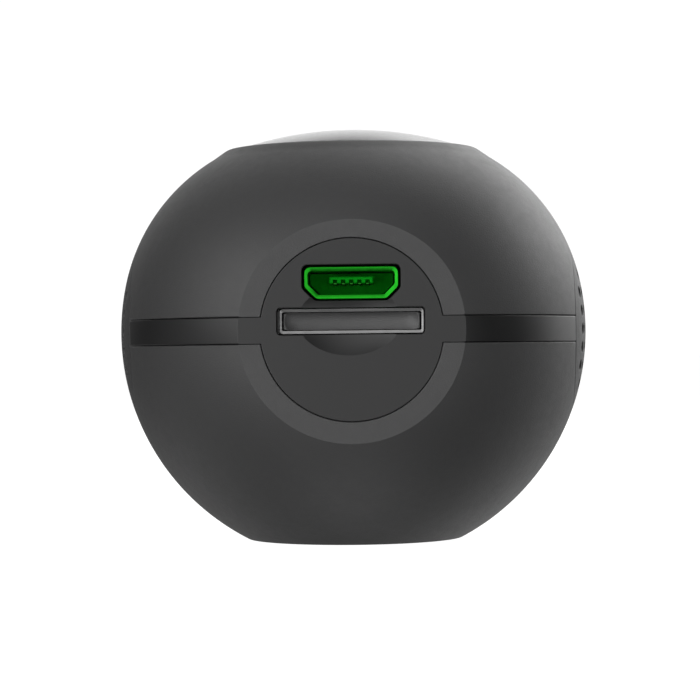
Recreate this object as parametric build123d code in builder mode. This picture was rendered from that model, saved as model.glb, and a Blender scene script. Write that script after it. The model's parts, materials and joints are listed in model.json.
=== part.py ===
from build123d import *
import os
from math import cos, sin, sqrt, radians

# Small ball camera. Millimetres. Origin at the centre of the base face, +Z up,
# ports on the -Y side, power button on the +Y side, grilles on +X and -X.

# ---------------------------------------------------------------- dimensions
BALL_R = 20.0            # ball radius
ZC = 17.75               # height of the ball centre above the base face
BASE_R = 9.216           # radius of the flat base
WALL = 1.6               # shell wall
KNEE_ANG = 12.57         # elevation where the lens side turns in
NOSE_R = 16.354          # profile radius of the lens side
NOSE_CR = 3.559          # profile centre, radial
NOSE_CH = 0.794          # profile centre, height above the ball centre
RIM_R = 10.85            # outer radius of the window rim
RIM_H = 15.58            # its height above the ball centre
SEAT_R = 10.35           # bore for the window
WINDOW_R = 10.25         # window radius
WINDOW_CROWN = 17.35     # top of the window above the ball centre
LEDGE_R = 9.4            # inner radius of the window ledge

FACET_Y = 17.82          # distance of the flat port face from the axis
FACET_IN = 16.3          # inner face of the shell behind it
DISC_R = 7.29            # port disc radius
DISC_IN = 16.2           # inner face of the port disc
BAND_H = 1.05            # half height of the middle band
BAND_IN = 17.5           # inner radius of the band
TONGUE_R = 18.18         # outer radius of the band's inner lip
TONGUE_H = 2.4           # half height of the inner lip
PART_GAP = 0.05          # parting line between outer pieces
CAP_R = 7.2              # side grille radius
CAP_SEAT_R = 7.26
BTN_DISC_R = 5.0         # round widening of the band around the button

USB_W = 7.5              # receptacle shell, outside
USB_H = 2.57
USB_Z = 3.74             # height of its centre above the ball centre
USB_WALL = 0.30          # side walls of the receptacle shell
USB_WALL_V = 0.35        # its top and bottom walls
USB_FRONT = 17.70
USB_BACK = 12.1

SLOT_W = 11.5            # metal mouth of the card socket, outside
SLOT_H = 2.0
SLOT_Z = 0.70
SLOT_FRONT = 17.0
CARD_W = 11.0
CARD_END = 16.85         # outer end of the seated card

BOARD_LO = 1.75          # main board faces above the ball centre
BOARD_HI = 2.35
BOARD_R = 17.0
LED_RING_R = 8.0         # pitch radius of the infrared lights
LED_COUNT = 6

HOLE_R = 0.45            # grille holes
HOLE_PITCH = 1.57
SCREW_R = 0.78           # M1.6 shank
POSTS = [(12.3, -8.6), (-12.3, -8.6), (10.0, 10.0), (-10.0, 10.0)]
BASE_SCREW_R = 6.3       # pitch radius of the base screws
BAT_W = 18.0             # battery cell
BAT_LO = -11.9
BAT_HI = -3.4

os.makedirs("parts", exist_ok=True)

# ------------------------------------------------------------ derived values
kc, ks = cos(radians(KNEE_ANG)), sin(radians(KNEE_ANG))
in_r = BALL_R - WALL
nose_in = NOSE_R - WALL
floor_z = 2.0
floor_r = sqrt(in_r**2 - (ZC - floor_z) ** 2)


def nose(radius, r):
    # height above the ball centre of the lens-side profile at radius r
    return NOSE_CH + sqrt(radius**2 - (r - NOSE_CR) ** 2)


def dome_mid(r0, h0, h1):
    # midpoint of the arc from (r0, h0) to the axis at (0, h1), centre on the axis
    s = h1 - h0
    big = (r0**2 + s**2) / (2 * abs(s))
    drop = big - sqrt(big**2 - (r0 / 2) ** 2)
    return (r0 / 2, h1 - drop if s > 0 else h1 + drop)


# grille hole grid, corners left out
hole_points = [
    (i * HOLE_PITCH, j * HOLE_PITCH)
    for i in range(-3, 4)
    for j in range(-3, 4)
    if abs(i) + abs(j) < 6
]

# ------------------------------------------------------------ shared forms
# turned forms are drawn on a diagonal plane, so that their seams stay clear of
# the ports, the button and the grilles
turn_plane = Plane(origin=(0, 0, 0), x_dir=(1, 1, 0), z_dir=(1, -1, 0))

# outer form of the whole body, closed at the window rim
with BuildPart() as outer_form:
    with BuildSketch(turn_plane):
        with BuildLine():
            Line((0, 0), (BASE_R, 0))
            ThreePointArc((BASE_R, 0), (BALL_R, ZC), (BALL_R * kc, ZC + BALL_R * ks))
            ThreePointArc(
                (BALL_R * kc, ZC + BALL_R * ks),
                (16.6, ZC + nose(NOSE_R, 16.6)),
                (12.0, ZC + nose(NOSE_R, 12.0)),
            )
            Line((12.0, ZC + nose(NOSE_R, 12.0)), (RIM_R, ZC + RIM_H))
            Line((RIM_R, ZC + RIM_H), (SEAT_R, ZC + RIM_H + 0.10))
            Line((SEAT_R, ZC + RIM_H + 0.10), (0, ZC + RIM_H + 0.10))
            Line((0, ZC + RIM_H + 0.10), (0, 0))
        make_face()
    revolve(axis=Axis.Z)
    with Locations((0, -FACET_Y - 5, ZC)):
        Box(60, 10, 60, mode=Mode.SUBTRACT)

# cavity inside both shells, open at the window seat
with BuildPart() as inner_form:
    with BuildSketch(turn_plane):
        with BuildLine():
            Line((0, floor_z), (floor_r, floor_z))
            ThreePointArc((floor_r, floor_z), (in_r, ZC), (in_r * kc, ZC + in_r * ks))
            ThreePointArc(
                (in_r * kc, ZC + in_r * ks),
                (15.6, ZC + nose(nose_in, 15.6)),
                (12.2, ZC + nose(nose_in, 12.2)),
            )
            Line((12.2, ZC + nose(nose_in, 12.2)), (12.2, ZC + 12.95))
            Line((12.2, ZC + 12.95), (LEDGE_R, ZC + 12.95))
            Line((LEDGE_R, ZC + 12.95), (LEDGE_R, ZC + 14.55))
            Line((LEDGE_R, ZC + 14.55), (SEAT_R, ZC + 14.55))
            Line((SEAT_R, ZC + 14.55), (SEAT_R, ZC + 18))
            Line((SEAT_R, ZC + 18), (0, ZC + 18))
            Line((0, ZC + 18), (0, floor_z))
        make_face()
    revolve(axis=Axis.Z)
    with Locations((0, -FACET_IN - 5, ZC)):
        Box(60, 10, 60, mode=Mode.SUBTRACT)

# round openings in the outer wall: port disc, button disc, both side grilles
with BuildPart() as wall_openings:
    with BuildSketch(Plane.XZ.offset(-10)):
        with Locations((0, ZC)):
            Circle(BTN_DISC_R + 0.06)
    extrude(amount=-12)
    with BuildSketch(Plane.XZ.offset(10)):
        with Locations((0, ZC)):
            Circle(DISC_R + 0.06)
    extrude(amount=12)
    with BuildSketch(Plane.YZ.offset(14)):
        with Locations((0, ZC)):
            Circle(CAP_SEAT_R)
    extrude(amount=8)
    with BuildSketch(Plane.YZ.offset(-14)):
        with Locations((0, ZC)):
            Circle(CAP_SEAT_R)
    extrude(amount=-8)

# ------------------------------------------------------------ front shell
with BuildPart() as front_shell:
    add(outer_form.part)
    add(inner_form.part, mode=Mode.SUBTRACT)
    with Locations((0, 0, ZC + BAND_H + PART_GAP - 25)):
        Box(60, 60, 50, mode=Mode.SUBTRACT)
    # screw bosses, trimmed to the outside of the shell
    with BuildSketch(Plane.XY.offset(ZC + 3.42)):
        with Locations(*POSTS):
            Circle(1.7)
    extrude(amount=11)
    add(outer_form.part, mode=Mode.INTERSECT)
    with BuildSketch(Plane.XY.offset(ZC + 3)):
        with Locations(*POSTS):
            Circle(SCREW_R + 0.03)
    extrude(amount=5.4, mode=Mode.SUBTRACT)
    # pilot holes for the light board screws in the window ledge
    with BuildSketch(Plane.XY.offset(ZC + 12)):
        with PolarLocations(10.85, 3, start_angle=30):
            Circle(0.53)
    extrude(amount=2.2, mode=Mode.SUBTRACT)
    add(wall_openings.part, mode=Mode.SUBTRACT)
front_shell.part.label = "front_shell"

# ------------------------------------------------------------ rear shell
with BuildPart() as rear_shell:
    add(outer_form.part)
    add(inner_form.part, mode=Mode.SUBTRACT)
    with Locations((0, 0, ZC - BAND_H - PART_GAP + 25)):
        Box(60, 60, 50, mode=Mode.SUBTRACT)
    add(wall_openings.part, mode=Mode.SUBTRACT)
    with BuildSketch(Plane.XY.offset(floor_z - 0.2)):
        with PolarLocations(BASE_SCREW_R, 3, start_angle=90):
            Circle(2.1)
    extrude(amount=2.1)
    with BuildSketch(Plane.XY):
        Circle(8.36)
    extrude(amount=0.82, mode=Mode.SUBTRACT)
    with BuildSketch(Plane.XY):
        with PolarLocations(BASE_SCREW_R, 3, start_angle=90):
            Circle(1.4)
    extrude(amount=1.85, mode=Mode.SUBTRACT)
    with BuildSketch(Plane.XY):
        with PolarLocations(BASE_SCREW_R, 3, start_angle=90):
            Circle(0.85)
    extrude(amount=5, mode=Mode.SUBTRACT)
rear_shell.part.label = "rear_shell"

with BuildPart() as base_pad:
    with BuildSketch(Plane.XY):
        Circle(8.3)
    extrude(amount=0.8)
    with BuildSketch(Plane.XY.offset(0)):
        Circle(7.2)
        Circle(6.9, mode=Mode.SUBTRACT)
    extrude(amount=0.15, mode=Mode.SUBTRACT)
base_pad.part.label = "base_pad"

with BuildPart() as base_screws:
    with BuildSketch(Plane.XY.offset(0.95)):
        with PolarLocations(BASE_SCREW_R, 3, start_angle=90):
            Circle(1.3)
    extrude(amount=0.88)
    with BuildSketch(Plane.XY.offset(1.8)):
        with PolarLocations(BASE_SCREW_R, 3, start_angle=90):
            Circle(0.75)
    extrude(amount=3.85)
    with BuildSketch(Plane.XY.offset(0.95)):
        with PolarLocations(BASE_SCREW_R, 3, start_angle=90):
            Rectangle(1.5, 0.35)
            Rectangle(0.35, 1.5)
    extrude(amount=0.45, mode=Mode.SUBTRACT)
base_screws.part.label = "base_screws"

# ------------------------------------------------------------ middle band
# lip and band section shared by the two halves
with BuildPart() as band_ring:
    with BuildSketch(Plane.XY.offset(ZC - BAND_H)):
        Circle(BALL_R + 1)
        Circle(BAND_IN, mode=Mode.SUBTRACT)
    extrude(amount=2 * BAND_H)
    with BuildSketch(Plane.XY.offset(ZC - TONGUE_H)):
        Circle(TONGUE_R)
        Circle(BAND_IN, mode=Mode.SUBTRACT)
    extrude(amount=2 * TONGUE_H)
    # the lip stops behind the flat port face, the band runs on to it
    for lip_h in (BAND_H + (TONGUE_H - BAND_H) / 2, -BAND_H - (TONGUE_H - BAND_H) / 2):
        with Locations((0, -FACET_IN - 5 + 0.06, ZC + lip_h)):
            Box(60, 10, TONGUE_H - BAND_H, mode=Mode.SUBTRACT)
    add(outer_form.part, mode=Mode.INTERSECT)
    with BuildSketch(Plane.YZ.offset(14)):
        with Locations((0, ZC)):
            Circle(CAP_SEAT_R)
    extrude(amount=8, mode=Mode.SUBTRACT)
    with BuildSketch(Plane.YZ.offset(-14)):
        with Locations((0, ZC)):
            Circle(CAP_SEAT_R)
    extrude(amount=-8, mode=Mode.SUBTRACT)

usb_zc = ZC + USB_Z
hw, hh = USB_W / 2, USB_H / 2

with BuildPart() as port_band:
    add(band_ring.part)
    with Locations((0, 15, ZC)):
        Box(60, 30, 20, mode=Mode.SUBTRACT)
    # port disc
    with BuildSketch(Plane.XZ.offset(DISC_IN)):
        with Locations((0, ZC)):
            Circle(DISC_R)
    extrude(amount=FACET_Y - DISC_IN)
    # lugs for the frame screws
    with BuildSketch(Plane.XY.offset(ZC + BOARD_HI + 0.03)):
        with Locations((12.3, -8.6), (-12.3, -8.6)):
            Circle(1.8)
        with Locations(Location((14.4, -10.1, 0), (0, 0, -35)), Location((-14.4, -10.1, 0), (0, 0, 35))):
            Rectangle(6.0, 2.6)
        Circle(17.9, mode=Mode.INTERSECT)
    extrude(amount=1.0)
    with BuildSketch(Plane.XY.offset(ZC + 1)):
        with Locations((12.3, -8.6), (-12.3, -8.6)):
            Circle(0.95)
    extrude(amount=4, mode=Mode.SUBTRACT)
    # receptacle opening
    g = 0.18
    with BuildSketch(Plane.XZ.offset(DISC_IN - 1)):
        with Locations((0, usb_zc)):
            Polygon(
                (-hw - g + 0.40, hh + g), (hw + g - 0.40, hh + g), (hw + g, hh + g - 0.40),
                (hw + g, -hh + 0.95 - g * 0.4), (hw - 0.95 + g * 0.4, -hh - g),
                (-hw + 0.95 - g * 0.4, -hh - g), (-hw - g, -hh + 0.95 - g * 0.4),
                (-hw - g, hh + g - 0.40), align=None,
            )
        # card slot opening
        with Locations((-0.065, ZC + SLOT_Z)):
            RectangleRounded(SLOT_W + 0.27, SLOT_H + 0.14, 0.32)
    extrude(amount=4, mode=Mode.SUBTRACT)
    # finger scoop: shallow dish turned about a line parallel to X
    with BuildSketch(Plane.XY.offset(ZC + 0.78)):
        with BuildLine():
            ThreePointArc((-8.17, -20.21), (-0.17, -17.07), (7.83, -20.21))
            Line((7.83, -20.21), (7.83, -22.78))
            Line((7.83, -22.78), (-8.17, -22.78))
            Line((-8.17, -22.78), (-8.17, -20.21))
        make_face()
    revolve(axis=Axis((0, -22.78, ZC + 0.78), (1, 0, 0)), mode=Mode.SUBTRACT)
port_band.part.label = "port_band"

with BuildPart() as button_band:
    add(band_ring.part)
    with Locations((0, -15, ZC)):
        Box(60, 30, 20, mode=Mode.SUBTRACT)
    # round widening, trimmed to the ball
    with BuildSketch(Plane.XZ.offset(-17.2)):
        with Locations((0, ZC)):
            Circle(BTN_DISC_R)
    extrude(amount=-5)
    # lugs for the frame screws
    with BuildSketch(Plane.XY.offset(ZC + BOARD_HI + 0.03)):
        with Locations((10, 10), (-10, 10)):
            Circle(1.8)
        with Locations(Location((11.8, 11.8, 0), (0, 0, 45)), Location((-11.8, 11.8, 0), (0, 0, -45))):
            Rectangle(5.4, 2.6)
        Circle(17.9, mode=Mode.INTERSECT)
    extrude(amount=1.0)
    add(outer_form.part, mode=Mode.INTERSECT)
    with BuildSketch(Plane.XY.offset(ZC + 1)):
        with Locations((10, 10), (-10, 10)):
            Circle(0.95)
    extrude(amount=4, mode=Mode.SUBTRACT)
    # button bore with a wider pocket behind it for the button's flange
    with BuildSketch(Plane.XZ.offset(-15)):
        with Locations((0, ZC)):
            Circle(2.95)
    extrude(amount=-8, mode=Mode.SUBTRACT)
    with BuildSketch(Plane.XZ.offset(-15)):
        with Locations((0, ZC)):
            Circle(3.7)
    extrude(amount=-3.3, mode=Mode.SUBTRACT)
    # reset pinhole and status light hole
    with BuildSketch(Plane.XZ.offset(-15)):
        with Locations((6.8, ZC + 0.4)):
            Circle(0.45)
        with Locations((-6.8, ZC)):
            Circle(0.62)
    extrude(amount=-8, mode=Mode.SUBTRACT)
button_band.part.label = "button_band"

with BuildPart() as power_button:
    with BuildSketch(Plane.XZ.offset(-17.7)):
        with Locations((0, ZC)):
            Circle(2.88)
    extrude(amount=-4)
    with Locations((0, 0, ZC)):
        Sphere(20.18, mode=Mode.INTERSECT)
    with BuildSketch(Plane.XZ.offset(-17.65)):
        with Locations((0, ZC)):
            Circle(3.4)
    extrude(amount=-0.58)
    with BuildSketch(Plane.XZ.offset(-16.83)):
        with Locations((0, ZC)):
            Circle(1.5)
    extrude(amount=-1.27)
    # dished face
    with Locations((0, 26.6, ZC)):
        Sphere(6.9, mode=Mode.SUBTRACT)
power_button.part.label = "power_button"

with BuildPart() as light_pipe:
    with BuildSketch(Plane.XZ.offset(-15.0)):
        with Locations((-6.8, ZC)):
            Circle(0.58)
    extrude(amount=-6)
    with Locations((0, 0, ZC)):
        Sphere(20.02, rotation=(0, 0, 45), mode=Mode.INTERSECT)
    with BuildSketch(Plane.XZ.offset(-15.0)):
        with Locations((-6.8, ZC)):
            Circle(0.8)
    extrude(amount=-0.35)
light_pipe.part.label = "light_pipe"

# ------------------------------------------------------------ window group
with BuildPart() as front_window:
    with BuildSketch(Plane.XZ):
        with BuildLine():
            Line((0, ZC + WINDOW_CROWN), (0, ZC + 16.1))
            ThreePointArc(
                (0, ZC + 16.1), dome_mid(9.2, ZC + 14.76, ZC + 16.1), (9.2, ZC + 14.76)
            )
            Line((9.2, ZC + 14.76), (WINDOW_R, ZC + 14.76))
            Line((WINDOW_R, ZC + 14.76), (WINDOW_R, ZC + 15.58))
            ThreePointArc(
                (WINDOW_R, ZC + 15.58),
                dome_mid(WINDOW_R, ZC + 15.58, ZC + WINDOW_CROWN),
                (0, ZC + WINDOW_CROWN),
            )
        make_face()
    revolve(axis=Axis.Z)
front_window.part.label = "front_window"

with BuildPart() as window_gasket:
    with BuildSketch(Plane.XY.offset(ZC + 14.56)):
        Circle(10.3)
        Circle(9.45, mode=Mode.SUBTRACT)
    extrude(amount=0.19)
window_gasket.part.label = "window_gasket"

with BuildPart() as window_mask:
    with BuildSketch(Plane.XY.offset(ZC + 13.55)):
        Circle(9.32)
        Circle(6.85, mode=Mode.SUBTRACT)
        with PolarLocations(LED_RING_R, LED_COUNT, start_angle=15):
            Circle(1.08, mode=Mode.SUBTRACT)
        with Locations(Rotation(0, 0, 45) * Location((LED_RING_R, 0, 0))):
            Circle(0.6, mode=Mode.SUBTRACT)
    extrude(amount=0.95)
    # three feet on the light board
    with BuildSketch(Plane.XY.offset(ZC + 12.93)):
        with PolarLocations(8.3, 3, start_angle=105):
            Circle(0.5)
    extrude(amount=0.7)
    # shallow steps that lead the eye to the lens
    with BuildSketch(Plane.XY.offset(ZC + 14.3)):
        Circle(7.35)
    extrude(amount=0.4, mode=Mode.SUBTRACT)
    with BuildSketch(Plane.XY.offset(ZC + 14.4)):
        Circle(9.0)
        Circle(8.0, mode=Mode.SUBTRACT)
window_mask.part.label = "window_mask"

# ------------------------------------------------------------ side grilles
# space behind the right grille, up to its curved inner face
with BuildPart() as cap_cavity:
    with BuildSketch(Plane.YZ.offset(15)):
        with Locations((0, ZC)):
            Circle(6.5)
    extrude(amount=6)
    with Locations((0, 0, ZC)):
        Sphere(18.8, rotation=(0, 0, 45), mode=Mode.INTERSECT)

with BuildPart() as cap_mesh:
    with BuildSketch(Plane.YZ.offset(15)):
        with Locations((0, ZC)):
            Circle(6.35)
    extrude(amount=6)
    with Locations((0, 0, ZC)):
        Sphere(18.74, rotation=(0, 0, 45), mode=Mode.INTERSECT)
        Sphere(18.60, rotation=(0, 0, 45), mode=Mode.SUBTRACT)

with BuildPart() as right_grille:
    with BuildSketch(Plane.YZ.offset(16.65)):
        with Locations((0, ZC)):
            Circle(CAP_R)
    extrude(amount=6)
    add(outer_form.part, mode=Mode.INTERSECT)
    add(cap_cavity.part, mode=Mode.SUBTRACT)
    with BuildSketch(Plane.YZ.offset(15)):
        with Locations((0, ZC)):
            with Locations(*hole_points):
                Circle(HOLE_R)
    extrude(amount=8, mode=Mode.SUBTRACT)
right_grille.part.label = "right_grille"

with BuildPart() as left_grille:
    mirror(right_grille.part, about=Plane.YZ)
left_grille.part.label = "left_grille"

with BuildPart() as grille_meshes:
    add(cap_mesh.part)
    mirror(cap_mesh.part, about=Plane.YZ)
grille_meshes.part.label = "grille_meshes"

# ------------------------------------------------------------ usb receptacle
with BuildPart() as usb_shell:
    with BuildSketch(Plane.XZ.offset(USB_BACK)):
        with Locations((0, usb_zc)):
            Polygon(
                (-hw + 0.33, hh), (hw - 0.33, hh), (hw, hh - 0.33), (hw, -hh + 0.95),
                (hw - 0.95, -hh), (-hw + 0.95, -hh), (-hw, -hh + 0.95), (-hw, hh - 0.33),
                align=None,
            )
    extrude(amount=USB_FRONT - USB_BACK)
    w, h = hw - USB_WALL, hh - USB_WALL_V
    with BuildSketch(Plane.XZ.offset(USB_BACK)):
        with Locations((0, usb_zc)):
            Polygon(
                (-w + 0.2, h), (w - 0.2, h), (w, h - 0.2), (w, -h + 0.85),
                (w - 0.85, -h), (-w + 0.85, -h), (-w, -h + 0.85), (-w, h - 0.2),
                align=None,
            )
    extrude(amount=8, mode=Mode.SUBTRACT)
    # latch windows in the top sheet
    with Locations((2.0, -14.6, usb_zc + hh), (-2.0, -14.6, usb_zc + hh)):
        Box(0.8, 1.6, 1.0, mode=Mode.SUBTRACT)
usb_shell.part.label = "usb_shell"

with BuildPart() as usb_tongue:
    # insulator block that closes the back
    with BuildSketch(Plane.XZ.offset(USB_BACK + 0.05)):
        with Locations((0, usb_zc)):
            Polygon(
                (-w + 0.3, h - 0.06), (w - 0.3, h - 0.06), (w - 0.06, h - 0.3), (w - 0.06, -h + 0.9),
                (w - 0.9, -h + 0.06), (-w + 0.9, -h + 0.06), (-w + 0.06, -h + 0.9), (-w + 0.06, h - 0.3),
                align=None,
            )
    extrude(amount=1.2)
    with Locations((0, -15.05, usb_zc + 0.24)):
        Box(3.5, 3.7, 0.56)
    # grooves for the contacts on the lower side
    for i in range(5):
        with Locations(((i - 2) * 0.65, -14.9, usb_zc + 0.24 - 0.28)):
            Box(0.32, 4.2, 0.16, mode=Mode.SUBTRACT)
        # open front end of the groove
        with Locations(((i - 2) * 0.65, -16.55, usb_zc + 0.065)):
            Box(0.34, 1.1, 0.39, mode=Mode.SUBTRACT)
usb_tongue.part.label = "usb_tongue"

with BuildPart() as usb_contacts:
    for i in range(5):
        with Locations(((i - 2) * 0.65, -14.8, usb_zc - 0.06)):
            Box(0.26, 2.8, 0.14)
usb_contacts.part.label = "usb_contacts"

# ------------------------------------------------------------ card socket
with BuildPart() as card_socket_shield:
    # mouth rim
    with BuildSketch(Plane.XZ.offset(15.25)):
        with Locations((0, ZC + SLOT_Z)):
            RectangleRounded(SLOT_W, SLOT_H, 0.24)
            RectangleRounded(SLOT_W - 0.4, SLOT_H - 0.54, 0.12, mode=Mode.SUBTRACT)
    extrude(amount=SLOT_FRONT - 15.25)
    # folded can: lower sheet, two sides, front flange
    with Locations((0, -8.1, ZC - 0.225)):
        Box(14.0, 14.6, 0.15)
    with Locations((6.925, -8.1, ZC + 0.70), (-6.925, -8.1, ZC + 0.70)):
        Box(0.15, 14.6, 2.0)
    with BuildSketch(Plane.XZ.offset(15.25)):
        with Locations((0, ZC + SLOT_Z)):
            Rectangle(14.0, 2.0)
            Rectangle(SLOT_W - 0.4, SLOT_H - 0.54, mode=Mode.SUBTRACT)
    extrude(amount=0.15)
    # lead-in bevel on the inside of the mouth
    with BuildSketch(Plane.XZ.offset(SLOT_FRONT + 0.01)):
        with Locations((0, ZC + SLOT_Z)):
            RectangleRounded(SLOT_W - 0.26, SLOT_H - 0.40, 0.18)
    extrude(amount=-0.07, taper=45, mode=Mode.SUBTRACT)
card_socket_shield.part.label = "card_socket_shield"

with BuildPart() as card_socket_base:
    with Locations((0, -8.05, ZC + 1.39)):
        Box(13.6, 14.2, 0.60)
    # guide rails each side of the card
    with Locations((-6.18, -8.05, ZC + 0.48)):
        Box(1.24, 14.2, 1.24)
    with Locations((6.18, -13.45, ZC + 0.48)):
        Box(1.24, 3.4, 1.24)
    with Locations((6.74, -8.05, ZC + 0.48)):
        Box(0.12, 14.2, 1.24)
    # back wall
    with Locations((0, -1.05, ZC + 0.40)):
        Box(13.6, 0.2, 1.10)
card_socket_base.part.label = "card_socket_base"

with BuildPart() as card_socket_contacts:
    for i in range(8):
        with Locations(((i - 3.5) * 1.1 - 0.65, -2.75, ZC + 1.035)):
            Box(0.6, 3.9, 0.07)
        with Locations(((i - 3.5) * 1.1 - 0.65, -0.85, ZC + 1.36)):
            Box(0.6, 0.1, 0.72)
        with Locations(((i - 3.5) * 1.1 - 0.65, -0.55, ZC + 1.68)):
            Box(0.6, 0.7, 0.08)
card_socket_contacts.part.label = "card_socket_contacts"

with BuildPart() as memory_card:
    with BuildSketch(Plane.XY.offset(ZC + 0.27)):
        with BuildLine():
            Polyline(
                (-CARD_W / 2, -CARD_END), (CARD_W / 2, -CARD_END), (CARD_W / 2, -8.9),
                (4.2, -7.6), (4.2, -2.35), (3.7, -1.85), (-CARD_W / 2 + 0.5, -1.85),
                (-CARD_W / 2, -2.35), close=True,
            )
        make_face()
    extrude(amount=0.70)
    # thick grip end that fills the mouth of the slot
    with Locations((0, -CARD_END + 0.525, ZC + SLOT_Z)):
        Box(10.92, 1.05, 1.38)
    # shallow hollow in the grip for a fingernail, turned up at both ends
    with BuildSketch(Plane.XY.offset(ZC + SLOT_Z - 0.9)):
        with BuildLine():
            ThreePointArc((-5.36, -16.849), (-4.797, -16.562), (-4.18, -16.419))
            ThreePointArc((-4.18, -16.419), (0, -16.20), (4.18, -16.419))
            ThreePointArc((4.18, -16.419), (4.797, -16.562), (5.36, -16.849))
            Line((5.36, -16.849), (5.36, -17.3))
            Line((5.36, -17.3), (-5.36, -17.3))
            Line((-5.36, -17.3), (-5.36, -16.849))
        make_face()
    extrude(amount=1.8, mode=Mode.SUBTRACT)
memory_card.part.label = "memory_card"

with BuildPart() as card_ejector:
    with Locations((6.12, -5.63, ZC + 0.50)):
        Box(0.92, 4.05, 0.94)
    with Locations((5.02, -7.225, ZC + 0.50)):
        Box(1.34, 0.85, 0.94)
    # round peg that seats the spring
    with BuildSketch(Plane.XZ.offset(3.1)):
        with Locations((6.12, ZC + 0.50)):
            Circle(0.2)
    extrude(amount=0.6)
    # cam groove on the lower face
    with Locations((6.12, -5.8, ZC + 0.06)):
        Box(0.4, 2.4, 0.3, mode=Mode.SUBTRACT)
card_ejector.part.label = "card_ejector"

with BuildPart() as card_eject_spring:
    with BuildLine() as spring_path:
        Helix(pitch=0.36, height=2.28, radius=0.33, center=(6.12, -1.24, ZC + 0.50), direction=(0, -1, 0))
    with BuildSketch(Plane(origin=spring_path.line @ 0, z_dir=spring_path.line % 0)):
        Circle(0.07)
    sweep(is_frenet=True)
card_eject_spring.part.label = "card_eject_spring"

# ------------------------------------------------------------ main board
with BuildPart() as main_board:
    with BuildSketch(Plane.XY.offset(ZC + BOARD_LO)):
        Circle(BOARD_R)
        with Locations((0, 0.15)):
            Rectangle(40, 32.1, mode=Mode.INTERSECT)
        with Locations((16.4, 0)):
            Rectangle(8, 13.4, mode=Mode.SUBTRACT)
        with Locations((-18.6, 0)):
            Rectangle(8, 7.2, mode=Mode.SUBTRACT)
        with Locations(*POSTS):
            Circle(0.95, mode=Mode.SUBTRACT)
        with Locations((9, 0), (-9, 0)):
            Circle(0.7, mode=Mode.SUBTRACT)
    extrude(amount=BOARD_HI - BOARD_LO)
main_board.part.label = "main_board"

top = ZC + BOARD_HI + 0.02
under = ZC + BOARD_LO - 0.02

with BuildPart() as processor_chip:
    with Locations((0, 5.0, under - 0.1)):
        Box(9.0, 9.0, 0.2)
    with Locations((0, 5.0, under - 0.55)):
        Box(8.4, 8.4, 0.8)
processor_chip.part.label = "processor_chip"

with BuildPart() as memory_chip:
    with Locations((9.95, 5.4, top + 0.4)):
        Box(3.2, 4.2, 0.8)
    with Locations((9.95, 5.4, top + 0.1)):
        with GridLocations(3.6, 1.1, 2, 4):
            Box(1.0, 0.4, 0.2)
memory_chip.part.label = "memory_chip"

with BuildPart() as wireless_module:
    with Locations((-10.9, 5.1, top + 0.3)):
        Box(6.0, 5.4, 0.6)
    with Locations((-11.2, 4.8, top + 1.0)):
        Box(5.0, 4.4, 1.0)
wireless_module.part.label = "wireless_module"

with BuildPart() as small_components:
    for cx, cy in ((6.2, -9.0), (7.6, -9.0), (9.0, -9.0), (-6.2, -9.0), (-7.6, -9.0), (-9.0, -9.0)):
        with Locations((cx, cy, top + 0.25)):
            Box(0.8, 1.4, 0.5)
    for cx, cy in ((8.6, -12.2), (-8.6, -12.2)):
        with Locations((cx, cy, top + 0.5)):
            Box(2.4, 2.0, 1.0)
    for cx, cy in ((8.3, -4.6), (-8.3, -4.6)):
        with BuildSketch(Plane.XY.offset(top)):
            with Locations((cx, cy)):
                Circle(0.9)
        extrude(amount=1.6)
small_components.part.label = "small_components"

with BuildPart() as power_switch_body:
    with Locations((0, 14.65, under - 0.85)):
        Box(4.7, 2.7, 1.7)
    # pocket that the plunger moves in
    with Locations((0, 15.70, ZC + 0.75)):
        Box(2.1, 0.7, 1.0, mode=Mode.SUBTRACT)
power_switch_body.part.label = "power_switch_body"

with BuildPart() as power_switch_plunger:
    with Locations((0, 16.265, ZC + 0.75)):
        Box(2.0, 1.13, 0.9)
power_switch_plunger.part.label = "power_switch_plunger"

with BuildPart() as reset_switch_body:
    with Locations((6.8, 14.0, under - 0.8)):
        Box(3.0, 2.2, 1.6)
    with Locations((6.8, 14.75, ZC + 0.55)):
        Box(1.4, 0.8, 1.0, mode=Mode.SUBTRACT)
reset_switch_body.part.label = "reset_switch_body"

with BuildPart() as reset_switch_plunger:
    with Locations((6.8, 15.19, ZC + 0.55)):
        Box(1.3, 0.98, 0.9)
reset_switch_plunger.part.label = "reset_switch_plunger"

with BuildPart() as status_led:
    with Locations((-6.8, 14.0, ZC + 0.93)):
        Box(1.6, 1.0, 1.6)
    with BuildSketch(Plane.XZ.offset(-14.45)):
        with Locations((-6.8, ZC + 0.55)):
            Circle(0.4)
    extrude(amount=-0.5)
status_led.part.label = "status_led"

# ------------------------------------------------------------ optics
with BuildPart() as image_sensor:
    with Locations((0, 0, top + 0.4)):
        Box(7.6, 7.6, 0.8)
    with Locations((0, 0, top + 0.95)):
        Box(6.6, 6.6, 0.3)
image_sensor.part.label = "image_sensor"

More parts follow.
